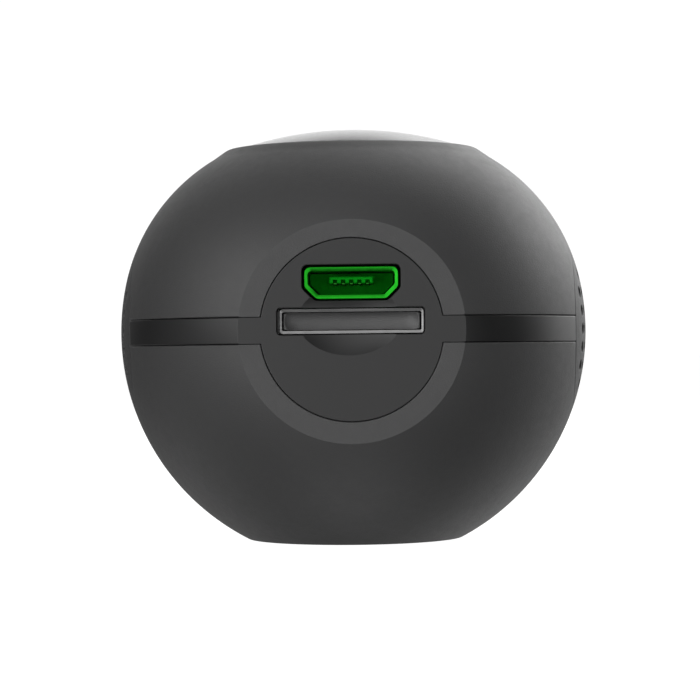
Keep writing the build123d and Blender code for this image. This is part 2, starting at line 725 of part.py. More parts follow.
with BuildPart() as lens_holder:
    with Locations((0, 0, ZC + 5.49)):
        Box(14, 14, 6.22)
    with Locations((0, 0, ZC + 2.98)):
        Box(17.6, 4.4, 1.2)
    with BuildSketch(Plane.XY.offset(ZC + 2.38)):
        with Locations((8.8, 0), (-8.8, 0)):
            Circle(2.0)
    extrude(amount=1.2)
    # sensor pocket, light opening and threaded bore
    with Locations((0, 0, ZC + 3.28)):
        Box(9.6, 9.6, 1.84, mode=Mode.SUBTRACT)
    with BuildSketch(Plane.XY.offset(ZC + 4.1)):
        Circle(3.6)
    extrude(amount=1.0, mode=Mode.SUBTRACT)
    with BuildSketch(Plane.XY.offset(ZC + 4.9)):
        Circle(6.05)
    extrude(amount=5, mode=Mode.SUBTRACT)
    with BuildSketch(Plane.XY.offset(ZC + 2)):
        with Locations((9, 0), (-9, 0)):
            Circle(0.62)
    extrude(amount=2, mode=Mode.SUBTRACT)
    # corner cuts
    with BuildSketch(Plane.XY.offset(ZC + 3.6)):
        with Locations((7, 7), (7, -7), (-7, 7), (-7, -7)):
            Circle(1.4)
    extrude(amount=6, mode=Mode.SUBTRACT)
lens_holder.part.label = "lens_holder"

with BuildPart() as lens_holder_screws:
    with BuildSketch(Plane.XY.offset(ZC + 1.05)):
        with Locations((9, 0), (-9, 0)):
            Circle(1.1)
    extrude(amount=0.68)
    with BuildSketch(Plane.XY.offset(ZC + 1.4)):
        with Locations((9, 0), (-9, 0)):
            Circle(0.58)
    extrude(amount=2.15)
    with BuildSketch(Plane.XY.offset(ZC + 1.05)):
        with Locations((9, 0), (-9, 0)):
            Rectangle(1.3, 0.3)
            Rectangle(0.3, 1.3)
    extrude(amount=0.35, mode=Mode.SUBTRACT)
lens_holder_screws.part.label = "lens_holder_screws"

with BuildPart() as infrared_filter:
    with BuildSketch(Plane.XY.offset(ZC + 4.93)):
        Circle(4.6)
    extrude(amount=0.4)
infrared_filter.part.label = "infrared_filter"

with BuildPart() as lens_barrel:
    with BuildSketch(Plane.XY.offset(ZC + 5.6)):
        Circle(6.0)
    extrude(amount=5.6)
    with BuildSketch(Plane.XY.offset(ZC + 11.2)):
        Circle(6.4)
    extrude(amount=3.0)
    with BuildSketch(Plane.XY.offset(ZC + 5.6)):
        Circle(3.65)
    extrude(amount=9, mode=Mode.SUBTRACT)
    with BuildSketch(Plane.XY.offset(ZC + 8.6)):
        Circle(4.45)
    extrude(amount=6, mode=Mode.SUBTRACT)
    with BuildSketch(Plane.XY.offset(ZC + 11.6)):
        Circle(5.25)
    extrude(amount=3, mode=Mode.SUBTRACT)
    # grip notches round the head and a bevel inside the mouth
    with BuildSketch(Plane.XY.offset(ZC + 11.2)):
        with PolarLocations(6.5, 24):
            Circle(0.28)
    extrude(amount=2.0, mode=Mode.SUBTRACT)
lens_barrel.part.label = "lens_barrel"

with BuildPart() as front_lens_element:
    with BuildSketch(Plane.XZ):
        with BuildLine():
            Line((0, ZC + 12.3), (0, ZC + 13.95))
            ThreePointArc(
                (0, ZC + 13.95), dome_mid(4.4, ZC + 13.2, ZC + 13.95), (4.4, ZC + 13.2)
            )
            Line((4.4, ZC + 13.2), (5.2, ZC + 13.2))
            Line((5.2, ZC + 13.2), (5.2, ZC + 11.64))
            Line((5.2, ZC + 11.64), (4.0, ZC + 11.64))
            ThreePointArc(
                (4.0, ZC + 11.64), dome_mid(4.0, ZC + 11.64, ZC + 12.3), (0, ZC + 12.3)
            )
        make_face()
    revolve(axis=Axis.Z)
front_lens_element.part.label = "front_lens_element"

with BuildPart() as middle_lens_element:
    with BuildSketch(Plane.XZ):
        with BuildLine():
            Line((0, ZC + 9.0), (0, ZC + 11.2))
            ThreePointArc(
                (0, ZC + 11.2), dome_mid(3.9, ZC + 10.4, ZC + 11.2), (3.9, ZC + 10.4)
            )
            Line((3.9, ZC + 10.4), (4.4, ZC + 10.4))
            Line((4.4, ZC + 10.4), (4.4, ZC + 8.64))
            Line((4.4, ZC + 8.64), (3.8, ZC + 8.64))
            ThreePointArc(
                (3.8, ZC + 8.64), dome_mid(3.8, ZC + 8.64, ZC + 9.0), (0, ZC + 9.0)
            )
        make_face()
    revolve(axis=Axis.Z)
middle_lens_element.part.label = "middle_lens_element"

with BuildPart() as rear_lens_element:
    with BuildSketch(Plane.XZ):
        with BuildLine():
            Line((0, ZC + 6.0), (0, ZC + 8.2))
            ThreePointArc(
                (0, ZC + 8.2), dome_mid(3.1, ZC + 7.5, ZC + 8.2), (3.1, ZC + 7.5)
            )
            Line((3.1, ZC + 7.5), (3.6, ZC + 7.5))
            Line((3.6, ZC + 7.5), (3.6, ZC + 6.4))
            ThreePointArc(
                (3.6, ZC + 6.4), dome_mid(3.6, ZC + 6.4, ZC + 6.0), (0, ZC + 6.0)
            )
        make_face()
    revolve(axis=Axis.Z)
rear_lens_element.part.label = "rear_lens_element"

with BuildPart() as lens_retaining_ring:
    with BuildSketch(Plane.XY.offset(ZC + 13.24)):
        Circle(5.2)
        Circle(4.55, mode=Mode.SUBTRACT)
    extrude(amount=0.66)
    with Locations((0, 0, ZC + 13.9)):
        Box(12, 0.8, 0.5, mode=Mode.SUBTRACT)
lens_retaining_ring.part.label = "lens_retaining_ring"

with BuildPart() as lens_light_seal:
    with BuildSketch(Plane.XY.offset(ZC + 12.4)):
        Circle(6.8)
        Circle(6.45, mode=Mode.SUBTRACT)
    extrude(amount=1.75)
lens_light_seal.part.label = "lens_light_seal"

# ------------------------------------------------------------ infrared lights
with BuildPart() as led_board:
    with BuildSketch(Plane.XY.offset(ZC + 12.1)):
        Circle(11.9)
        Circle(6.85, mode=Mode.SUBTRACT)
        with PolarLocations(10.85, 3, start_angle=30):
            Circle(0.6, mode=Mode.SUBTRACT)
    extrude(amount=0.8)
led_board.part.label = "led_board"

with BuildPart() as led_board_screws:
    with BuildSketch(Plane.XY.offset(ZC + 11.5)):
        with PolarLocations(10.85, 3, start_angle=30):
            Circle(0.9)
    extrude(amount=0.58)
    with BuildSketch(Plane.XY.offset(ZC + 11.9)):
        with PolarLocations(10.85, 3, start_angle=30):
            Circle(0.5)
    extrude(amount=2.2)
    with BuildSketch(Plane.XY.offset(ZC + 11.5)):
        with PolarLocations(10.85, 3, start_angle=30):
            Rectangle(1.1, 0.25)
            Rectangle(0.25, 1.1)
    extrude(amount=0.3, mode=Mode.SUBTRACT)
led_board_screws.part.label = "led_board_screws"

with BuildPart() as infrared_leds:
    with BuildSketch(Plane.XY.offset(ZC + 12.92)):
        with PolarLocations(LED_RING_R, LED_COUNT, start_angle=15):
            Rectangle(2.1, 2.1)
    extrude(amount=0.55)
    with PolarLocations(LED_RING_R, LED_COUNT, start_angle=15):
        with Locations((0, 0, ZC + 13.3)):
            Sphere(0.98)
    with Locations((0, 0, ZC + 10.92)):
        Box(30, 30, 4.0, mode=Mode.SUBTRACT)
infrared_leds.part.label = "infrared_leds"

with BuildPart() as light_sensor:
    with Locations(Rotation(0, 0, 45) * Location((LED_RING_R, 0, 0))):
        with Locations((0, 0, ZC + 13.16)):
            Box(1.2, 1.2, 0.48)
light_sensor.part.label = "light_sensor"

with BuildPart() as flex_connector:
    with Locations((0, 13.6, top + 0.55)):
        Box(6.4, 1.8, 1.1)
    with Locations((0, 13.6, top + 1.0)):
        Box(5.2, 0.3, 0.8, mode=Mode.SUBTRACT)
flex_connector.part.label = "flex_connector"

with BuildPart() as led_flex_cable:
    with BuildSketch(Plane.YZ.offset(-2.4)):
        with BuildLine():
            FilletPolyline(
                (7.4, ZC + 12.0), (11.3, ZC + 12.0), (13.6, ZC + 8.6), (13.6, ZC + 3.3),
                radius=1.6,
            )
        trace(line_width=0.12)
    extrude(amount=4.8)
led_flex_cable.part.label = "led_flex_cable"

# ------------------------------------------------------------ microphone
with BuildPart() as microphone_boot:
    with BuildSketch(Plane.YZ.offset(-15.3)):
        with Locations((0, ZC)):
            Circle(3.0)
    extrude(amount=-2.5)
    with BuildSketch(Plane.YZ.offset(-15.3)):
        with Locations((0, ZC)):
            Circle(2.1)
    extrude(amount=-1.9, mode=Mode.SUBTRACT)
    with BuildSketch(Plane.YZ.offset(-15.3)):
        with Locations((0, ZC)):
            Circle(0.9)
    extrude(amount=-5, mode=Mode.SUBTRACT)
microphone_boot.part.label = "microphone_boot"

with BuildPart() as microphone_capsule:
    with BuildSketch(Plane.YZ.offset(-15.5)):
        with Locations((0, ZC)):
            Circle(2.03)
    extrude(amount=-1.65)
    with BuildSketch(Plane.YZ.offset(-16.9)):
        with Locations((0, ZC)):
            Circle(0.35)
    extrude(amount=-1, mode=Mode.SUBTRACT)
microphone_capsule.part.label = "microphone_capsule"

with BuildPart() as microphone_leads:
    for ly in (-0.8, 0.8):
        with BuildLine() as mic_path:
            FilletPolyline(
                (-15.45, ly, ZC), (-13.4, ly, ZC), (-13.4, ly, ZC + 1.7), radius=0.8
            )
        with BuildSketch(Plane(origin=mic_path.line @ 0, z_dir=mic_path.line % 0)):
            Circle(0.28)
        sweep(path=mic_path.line)
microphone_leads.part.label = "microphone_leads"

# ------------------------------------------------------------ speaker
with BuildPart() as speaker_frame:
    with BuildSketch(Plane.YZ.offset(14.9)):
        with Locations((0, ZC)):
            Circle(6.3)
    extrude(amount=1.65)
    with BuildSketch(Plane.YZ.offset(15.4)):
        with Locations((0, ZC)):
            Circle(5.8)
    extrude(amount=3, mode=Mode.SUBTRACT)
    with BuildSketch(Plane.YZ.offset(14)):
        with Locations((0, ZC)):
            Circle(3.9)
    extrude(amount=3, mode=Mode.SUBTRACT)
    # vents round the back
    with BuildSketch(Plane.YZ.offset(14)):
        with Locations((0, ZC)):
            with PolarLocations(4.9, 6):
                Circle(0.55)
    extrude(amount=2, mode=Mode.SUBTRACT)
speaker_frame.part.label = "speaker_frame"

with BuildPart() as speaker_magnet:
    with BuildSketch(Plane.YZ.offset(12.9)):
        with Locations((0, ZC)):
            Circle(3.86)
    extrude(amount=2.5)
    with BuildSketch(Plane.YZ.offset(13.6)):
        with Locations((0, ZC)):
            Circle(3.3)
            Circle(2.7, mode=Mode.SUBTRACT)
    extrude(amount=3, mode=Mode.SUBTRACT)
speaker_magnet.part.label = "speaker_magnet"

with BuildPart() as speaker_diaphragm:
    with BuildSketch(Plane.XY.offset(ZC)):
        with BuildLine():
            Polyline(
                (16.2, 0), (16.2, 2.9), (14.2, 2.9), (14.2, 3.1), (15.95, 3.1),
                (16.25, 5.5), (16.4, 5.5), (16.4, 3.2), (16.45, 0), close=True,
            )
        make_face()
    revolve(axis=Axis((0, 0, ZC), (1, 0, 0)))
speaker_diaphragm.part.label = "speaker_diaphragm"

with BuildPart() as speaker_leads:
    for ly in (-4.2, -2.9):
        with BuildLine() as spk_path:
            FilletPolyline(
                (14.85, ly, ZC + 4.3), (12.0, ly, ZC + 4.3), (12.0, ly, ZC + 2.4), radius=1.0
            )
        with BuildSketch(Plane(origin=spk_path.line @ 0, z_dir=spk_path.line % 0)):
            Circle(0.28)
        sweep(path=spk_path.line)
speaker_leads.part.label = "speaker_leads"

# ------------------------------------------------------------ battery, chassis
with BuildPart() as battery_cell:
    with BuildSketch(Plane.XY.offset(ZC + BAT_LO)):
        RectangleRounded(BAT_W, BAT_W, 2.0)
    extrude(amount=BAT_HI - BAT_LO)
    fillet(battery_cell.edges().filter_by(Axis.Z, reverse=True), 0.6)
battery_cell.part.label = "battery_cell"

with BuildPart() as chassis:
    with BuildSketch(Plane.XY.offset(4.95)):
        RectangleRounded(19.9, 19.9, 2.9)
    extrude(amount=7.55)
    with BuildSketch(Plane.XY.offset(ZC + BAT_LO - 0.05)):
        RectangleRounded(18.3, 18.3, 2.1)
    extrude(amount=10, mode=Mode.SUBTRACT)
    # bosses for the base screws
    with BuildSketch(Plane.XY.offset(3.95)):
        with PolarLocations(BASE_SCREW_R, 3, start_angle=90):
            Circle(1.9)
    extrude(amount=1.4)
    # four arms up to the main board
    for px, py in POSTS:
        sx = 1 if px > 0 else -1
        if py > 0:
            rx, ry, rw, rd = 6.4, 10.3, 3.0, 1.8
        else:
            rx, ry, rw, rd = 9.95, -8.0, 1.6, 3.0
        with BuildSketch(Plane.XY.offset(8.2)):
            with Locations((sx * rx, ry)):
                Rectangle(rw, rd)
        extrude(amount=ZC + 1.72 - 8.2)
        with BuildSketch(Plane.XY.offset(ZC + 0.25)):
            with Locations((px, py)):
                Circle(1.9)
            with Locations(((sx * rx + px) / 2, (ry + py) / 2)):
                Rectangle(abs(px) - rx + 2.4, 2.6)
        extrude(amount=1.47)
    with Locations((0, 0, ZC)):
        Sphere(18.3, rotation=(0, 0, 45), mode=Mode.INTERSECT)
    with BuildSketch(Plane.XY.offset(ZC - 2)):
        with Locations(*POSTS):
            Circle(0.95)
    extrude(amount=5, mode=Mode.SUBTRACT)
    with BuildSketch(Plane.XY.offset(3)):
        with PolarLocations(BASE_SCREW_R, 3, start_angle=90):
            Circle(0.78)
    extrude(amount=5, mode=Mode.SUBTRACT)
chassis.part.label = "chassis"

with BuildPart() as frame_screws:
    with BuildSketch(Plane.XY.offset(ZC - 0.68)):
        with Locations(*POSTS):
            Circle(1.4)
    extrude(amount=0.9)
    with BuildSketch(Plane.XY.offset(ZC)):
        with Locations(*POSTS):
            Circle(SCREW_R)
    extrude(amount=8.1)
    with BuildSketch(Plane.XY.offset(ZC - 0.68)):
        with Locations(*POSTS):
            Rectangle(1.6, 0.36)
            Rectangle(0.36, 1.6)
    extrude(amount=0.45, mode=Mode.SUBTRACT)
frame_screws.part.label = "frame_screws"

with BuildPart() as battery_leads:
    for lx in (-1.2, 1.2):
        with BuildLine() as bat_path:
            FilletPolyline(
                (lx, 9.05, ZC - 4.3), (lx, 11.2, ZC - 4.3), (lx, 11.2, ZC + 1.7), radius=1.4
            )
        with BuildSketch(Plane(origin=bat_path.line @ 0, z_dir=bat_path.line % 0)):
            Circle(0.4)
        sweep(path=bat_path.line)
battery_leads.part.label = "battery_leads"

# ------------------------------------------------------------ export
export_step(front_shell.part, "parts/front_shell.step")
export_step(rear_shell.part, "parts/rear_shell.step")
export_step(port_band.part, "parts/port_band.step")
export_step(button_band.part, "parts/button_band.step")
export_step(front_window.part, "parts/front_window.step")
export_step(window_gasket.part, "parts/window_gasket.step")
export_step(window_mask.part, "parts/window_mask.step")
export_step(right_grille.part, "parts/right_grille.step")
export_step(left_grille.part, "parts/left_grille.step")
export_step(grille_meshes.part, "parts/grille_meshes.step")
export_step(base_pad.part, "parts/base_pad.step")
export_step(base_screws.part, "parts/base_screws.step")
export_step(power_button.part, "parts/power_button.step")
export_step(light_pipe.part, "parts/light_pipe.step")
export_step(usb_shell.part, "parts/usb_shell.step")
export_step(usb_tongue.part, "parts/usb_tongue.step")
export_step(usb_contacts.part, "parts/usb_contacts.step")
export_step(card_socket_base.part, "parts/card_socket_base.step")
export_step(card_socket_shield.part, "parts/card_socket_shield.step")
export_step(card_socket_contacts.part, "parts/card_socket_contacts.step")
export_step(card_ejector.part, "parts/card_ejector.step")
export_step(card_eject_spring.part, "parts/card_eject_spring.step")
export_step(memory_card.part, "parts/memory_card.step")
export_step(image_sensor.part, "parts/image_sensor.step")
export_step(infrared_filter.part, "parts/infrared_filter.step")
export_step(lens_holder.part, "parts/lens_holder.step")
export_step(lens_holder_screws.part, "parts/lens_holder_screws.step")
export_step(lens_barrel.part, "parts/lens_barrel.step")
export_step(front_lens_element.part, "parts/front_lens_element.step")
export_step(middle_lens_element.part, "parts/middle_lens_element.step")
export_step(rear_lens_element.part, "parts/rear_lens_element.step")
export_step(lens_retaining_ring.part, "parts/lens_retaining_ring.step")
export_step(lens_light_seal.part, "parts/lens_light_seal.step")
export_step(led_board.part, "parts/led_board.step")
export_step(led_board_screws.part, "parts/led_board_screws.step")
export_step(infrared_leds.part, "parts/infrared_leds.step")
export_step(light_sensor.part, "parts/light_sensor.step")
export_step(led_flex_cable.part, "parts/led_flex_cable.step")
export_step(flex_connector.part, "parts/flex_connector.step")
export_step(main_board.part, "parts/main_board.step")
export_step(processor_chip.part, "parts/processor_chip.step")
export_step(memory_chip.part, "parts/memory_chip.step")
export_step(wireless_module.part, "parts/wireless_module.step")
export_step(small_components.part, "parts/small_components.step")
export_step(power_switch_body.part, "parts/power_switch_body.step")
export_step(power_switch_plunger.part, "parts/power_switch_plunger.step")
export_step(reset_switch_body.part, "parts/reset_switch_body.step")
export_step(reset_switch_plunger.part, "parts/reset_switch_plunger.step")
export_step(status_led.part, "parts/status_led.step")
export_step(microphone_capsule.part, "parts/microphone_capsule.step")
export_step(microphone_boot.part, "parts/microphone_boot.step")
export_step(microphone_leads.part, "parts/microphone_leads.step")
export_step(speaker_frame.part, "parts/speaker_frame.step")
export_step(speaker_magnet.part, "parts/speaker_magnet.step")
export_step(speaker_diaphragm.part, "parts/speaker_diaphragm.step")
export_step(speaker_leads.part, "parts/speaker_leads.step")
export_step(battery_cell.part, "parts/battery_cell.step")
export_step(battery_leads.part, "parts/battery_leads.step")
export_step(chassis.part, "parts/chassis.step")
export_step(frame_screws.part, "parts/frame_screws.step")
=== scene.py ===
import bpy
import bmesh
import json
import math
from mathutils import Matrix, Vector


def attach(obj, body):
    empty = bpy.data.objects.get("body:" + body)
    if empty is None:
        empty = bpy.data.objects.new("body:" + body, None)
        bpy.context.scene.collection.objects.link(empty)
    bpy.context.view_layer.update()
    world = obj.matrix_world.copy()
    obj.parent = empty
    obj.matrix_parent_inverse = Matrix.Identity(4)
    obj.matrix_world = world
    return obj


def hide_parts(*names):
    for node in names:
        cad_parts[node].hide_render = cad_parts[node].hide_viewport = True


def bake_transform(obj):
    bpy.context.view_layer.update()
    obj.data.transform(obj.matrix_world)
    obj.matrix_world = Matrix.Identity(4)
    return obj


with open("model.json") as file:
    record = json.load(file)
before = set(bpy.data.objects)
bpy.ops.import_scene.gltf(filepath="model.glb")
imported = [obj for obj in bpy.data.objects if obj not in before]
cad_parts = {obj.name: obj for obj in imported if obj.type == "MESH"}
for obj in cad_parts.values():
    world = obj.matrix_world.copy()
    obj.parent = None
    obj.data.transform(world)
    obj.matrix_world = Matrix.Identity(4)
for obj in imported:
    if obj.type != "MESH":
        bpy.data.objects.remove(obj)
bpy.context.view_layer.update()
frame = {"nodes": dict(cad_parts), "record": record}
nodes = frame["nodes"]

# ------------------------------------------------------------------ dimensions
# millimetres; heights are measured from the centre of the ball
ZC = 17.75
BALL_R = 20.0
BASE_R = 9.216
IN_R = 18.4
NOSE_R, NOSE_CR, NOSE_CH = 16.354, 3.559, 0.794
NOSE_IN = NOSE_R - 1.6
KNEE = math.radians(12.57)
FACET_Y = 17.82
DISC_R = 7.29
BAND_H = 1.05
CAP_R = 7.2
HOLE_PITCH = 1.57
LED_R = 8.0
USB_Z = 3.74
SLOT_Z = 0.70


# ------------------------------------------------------------------ mesh tools
def link(name, mesh):
    o = bpy.data.objects.new(name, mesh)
    bpy.context.scene.collection.objects.link(o)
    return o


def from_bm(name, bm):
    bmesh.ops.recalc_face_normals(bm, faces=bm.faces)
    mesh = bpy.data.meshes.new(name)
    bm.to_mesh(mesh)
    bm.free()
    return link(name, mesh)


def arc(cr, ch, rad, a0, a1, n):
    """points on an arc in the (r, h) plane, angles in radians from +r"""
    return [
        (cr + rad * math.cos(a0 + (a1 - a0) * i / n), ch + rad * math.sin(a0 + (a1 - a0) * i / n))
        for i in range(n + 1)
    ]


def place(axis, r, a, t, centre):
    """a lathe point: radius r at angle t, distance a along the axis"""
    c, s = math.cos(t) * r, math.sin(t) * r
    cx, cy, cz = centre
    if axis == "Z":
        return (cx + c, cy + s, cz + a)
    if axis == "Y":
        return (cx + s, cy + a, cz + c)
    return (cx + a, cy + c, cz + s)


def lathe_bm(prof, segs=192, axis="Z", centre=(0, 0, 0), phase=0.0):
    """a closed profile of (radius, distance) points turned about an axis"""
    bm = bmesh.new()
    rings = []
    for r, a in prof:
        if r < 1e-9:
            rings.append([bm.verts.new(place(axis, 0, a, 0, centre))])
        else:
            rings.append(
                [
                    bm.verts.new(place(axis, r, a, phase + 2 * math.pi * k / segs, centre))
                    for k in range(segs)
                ]
            )
    n = len(rings)
    for i in range(n):
        p, q = rings[i], rings[(i + 1) % n]
        if len(p) == 1 and len(q) == 1:
            continue
        for k in range(segs):
            k2 = (k + 1) % segs
            if len(p) == 1:
                bm.faces.new((p[0], q[k], q[k2]))
            elif len(q) == 1:
                bm.faces.new((p[k], q[0], p[k2]))
            else:
                bm.faces.new((p[k], q[k], q[k2], p[k2]))
    return bm


def lathe(name, prof, segs=192, axis="Z", centre=(0, 0, ZC), phase=0.0):
    return from_bm(name, lathe_bm(prof, segs, axis, centre, phase))


def drum(name, r, a, b, axis="Z", centre=(0, 0, ZC), segs=96, phase=0.0):
    """a plain cylinder from a to b along the axis; used as a cutter"""
    return lathe(name, [(0, a), (r, a), (r, b), (0, b)], segs, axis, centre, phase)


def block(name, lo, hi):
    bm = bmesh.new()
    bmesh.ops.create_cube(bm, size=1.0)
    for v in bm.verts:
        v.co = Vector(
            [lo[i] + (v.co[i] + 0.5) * (hi[i] - lo[i]) for i in range(3)]
        )
    return from_bm(name, bm)


def rounded_rect(w, h, r, n=6):
    pts = []
    for cx, cy, a0 in (
        (w / 2 - r, h / 2 - r, 0),
        (-w / 2 + r, h / 2 - r, 90),
        (-w / 2 + r, -h / 2 + r, 180),
        (w / 2 - r, -h / 2 + r, 270),
    ):
        for i in range(n + 1):
            a = math.radians(a0 + 90 * i / n)
            pts.append((cx + r * math.cos(a), cy + r * math.sin(a)))
    return pts


def rounded_poly(corners, n=6):
    """corners: (x, y, radius) in order; returns a rounded outline with the same
    number of points for the same corners, so that two of them can be bridged"""
    pts = []
    m = len(corners)
    for i in range(m):
        p = Vector(corners[i][:2])
        a = Vector(corners[i - 1][:2]) - p
        b = Vector(corners[(i + 1) % m][:2]) - p
        r = corners[i][2]
        la, lb = a.length, b.length
        a.normalize()
        b.normalize()
        half = a.angle(b) / 2
        d = min(r / math.tan(half), la * 0.48, lb * 0.48)
        rr = d * math.tan(half)
        c = p + (a + b).normalized() * (rr / math.sin(half))
        s, e = p + a * d - c, p + b * d - c
        a0 = math.atan2(s.y, s.x)
        a1 = math.atan2(e.y, e.x)
        da = (a1 - a0 + math.pi) % (2 * math.pi) - math.pi
        for k in range(n + 1):
            t = a0 + da * k / n
            pts.append((c.x + rr * math.cos(t), c.y + rr * math.sin(t)))
    return pts


def loops_bm(loops, closed=False, caps=(True, True)):
    """a skin through rings of the same number of points"""
    bm = bmesh.new()
    rings = [[bm.verts.new(p) for p in ring] for ring in loops]
    n = len(rings[0])
    last = len(rings) if closed else len(rings) - 1
    for i in range(last):
        p, q = rings[i], rings[(i + 1) % len(rings)]
        for k in range(n):
            k2 = (k + 1) % n
            bm.faces.new((p[k], q[k], q[k2], p[k2]))
    if not closed:
        if caps[0]:
            bm.faces.new(rings[0])
        if caps[1]:
            bm.faces.new(list(reversed(rings[-1])))
    return bm


def in_y(pts, y, zc):
    return [(x, y, zc + h) for x, h in pts]


def join_bm(name, bms):
    out = bmesh.new()
    for b in bms:
        m = bpy.data.meshes.new("part")
        bmesh.ops.recalc_face_normals(b, faces=b.faces)
        b.to_mesh(m)
        b.free()
        out.from_mesh(m)
        bpy.data.meshes.remove(m)
    mesh = bpy.data.meshes.new(name)
    out.to_mesh(mesh)
    out.free()
    return link(name, mesh)


def cut(o, *cutters, op="DIFFERENCE"):
    for c in cutters:
        m = o.modifiers.new("b", "BOOLEAN")
        m.operation = op
        m.solver = "EXACT"
        m.object = c
        bpy.context.view_layer.update()
        dg = bpy.context.evaluated_depsgraph_get()
        mesh = bpy.data.meshes.new_from_object(o.evaluated_get(dg))
        o.modifiers.clear()
        old = o.data
        o.data = mesh
        bpy.data.meshes.remove(old)
        cm = c.data
        bpy.data.objects.remove(c)
        bpy.data.meshes.remove(cm)
    return o


def tidy(o, dist=0.0004):
    bm = bmesh.new()
    bm.from_mesh(o.data)
    bmesh.ops.remove_doubles(bm, verts=bm.verts, dist=dist)
    bmesh.ops.dissolve_degenerate(bm, edges=bm.edges, dist=dist)
    bm.to_mesh(o.data)
    bm.free()


def outer_normal(p):
    """true normals of the outside of the body at point p: of the turned form
    and of the flat port face, where the point lies on them"""
    x, y, h = p.x, p.y, p.z - ZC
    out = []
    if abs(y + FACET_Y) < 0.004:
        out.append(Vector((0, -1, 0)))
    r = math.hypot(x, y)
    if r < 1e-6:
        return out
    if h <= BALL_R * math.sin(KNEE):
        n = Vector((x, y, h))
        off = n.length - BALL_R
    else:
        dr, dh = r - NOSE_CR, h - NOSE_CH
        n = Vector((dr * x / r, dr * y / r, dh))
        off = n.length - NOSE_R
        if r < 11.95:
            return out
    if abs(off) < 0.02:
        out.append(n.normalized())
    return out


def shade(o, angle=24, normal=None, limit=0.985):
    """smooth shading with sharp edges, and true normals on the turned surfaces"""
    me = o.data
    for p in me.polygons:
        p.use_smooth = True
    me.set_sharp_from_angle(angle=math.radians(angle))
    if normal:
        flat = [(0.0, 0.0, 0.0)] * len(me.loops)
        for p in me.polygons:
            for li in p.loop_indices:
                for n in normal(me.vertices[me.loops[li].vertex_index].co):
                    if n.dot(p.normal) > limit:
                        flat[li] = tuple(n)
                        break
        me.normals_split_custom_set(flat)


def to_metres(o):
    o.data.transform(Matrix.Scale(0.001, 4))
    o.data.update()


def piece(o, node, body, mat, angle=24, normal=None, clean=True):
    """finishes a piece: units, shading, body, the node that it stands for"""
    if clean:
        tidy(o)
    shade(o, angle, normal)
    to_metres(o)
    o.data.materials.clear()
    o.data.materials.append(mat)
    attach(o, body)
    for n in node if isinstance(node, (list, tuple)) else (node,):
        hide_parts(n)
    return o


# ------------------------------------------------------------------ materials
class Mat:
    def __init__(self, name):
        self.m = bpy.data.materials.new(name)
        self.m.use_nodes = True
        self.t = self.m.node_tree
        self.t.nodes.clear()
        self.out = self.t.nodes.new("ShaderNodeOutputMaterial")
        self.b = self.t.nodes.new("ShaderNodeBsdfPrincipled")
        self.t.links.new(self.b.outputs[0], self.out.inputs["Surface"])
        self.tc = self.t.nodes.new("ShaderNodeTexCoord")

    def node(self, kind, **props):
        n = self.t.nodes.new(kind)
        for k, v in props.items():
            setattr(n, k, v)
        return n

    def link(self, a, b):
        self.t.links.new(a, b)

    def noise(self, scale, detail=3.0, rough=0.55, distort=0.0):
        n = self.node("ShaderNodeTexNoise")
        n.inputs["Scale"].default_value = scale
        n.inputs["Detail"].default_value = detail
        n.inputs["Roughness"].default_value = rough
        n.inputs["Distortion"].default_value = distort
        self.link(self.tc.outputs["Object"], n.inputs["Vector"])
        return n.outputs["Fac"]

    def remap(self, v, lo, hi, to_lo, to_hi):
        n = self.node("ShaderNodeMapRange")
        n.inputs["From Min"].default_value = lo
        n.inputs["From Max"].default_value = hi
        n.inputs["To Min"].default_value = to_lo
        n.inputs["To Max"].default_value = to_hi
        self.link(v, n.inputs["Value"])
        return n.outputs["Result"]

    def mix(self, fac, a, b):
        n = self.node("ShaderNodeMix", data_type="RGBA")
        if isinstance(fac, float):
            n.inputs[0].default_value = fac
        else:
            self.link(fac, n.inputs[0])
        for sock, v in ((n.inputs[6], a), (n.inputs[7], b)):
            if isinstance(v, (tuple, list)):
                sock.default_value = (*v[:3], 1.0)
            else:
                self.link(v, sock)
        return n.outputs[2]

    def math(self, op, a, b=None):
        n = self.node("ShaderNodeMath", operation=op)
        for i, v in enumerate((a, b)):
            if v is None:
                continue
            if isinstance(v, (int, float)):
                n.inputs[i].default_value = v
            else:
                self.link(v, n.inputs[i])
        return n.outputs[0]

    def bump(self, height, strength, distance, normal=None):
        n = self.node("ShaderNodeBump")
        n.inputs["Strength"].default_value = strength
        n.inputs["Distance"].default_value = distance
        self.link(height, n.inputs["Height"])
        if normal is not None:
            self.link(normal, n.inputs["Normal"])
        return n.outputs["Normal"]

    def edge_round(self, radius):
        n = self.node("ShaderNodeBevel", samples=4)
        n.inputs["Radius"].default_value = radius
        return n.outputs["Normal"]

    def wear(self, radius=0.00010):
        """1 on edges, where the rounded normal leaves the true one"""
        v = self.node("ShaderNodeVectorMath", operation="DOT_PRODUCT")
        g = self.node("ShaderNodeNewGeometry")
        self.link(self.edge_round(radius), v.inputs[0])
        self.link(g.outputs["Normal"], v.inputs[1])
        return self.remap(v.outputs["Value"], 0.995, 0.90, 0.0, 1.0)

    def set(self, **kw):
        for k, v in kw.items():
            k = k.replace("_", " ")
            s = self.b.inputs[k]
            if isinstance(v, (int, float)):
                s.default_value = v
            elif isinstance(v, (tuple, list)):
                s.default_value = (*v[:3], 1.0)
            else:
                self.link(v, s)


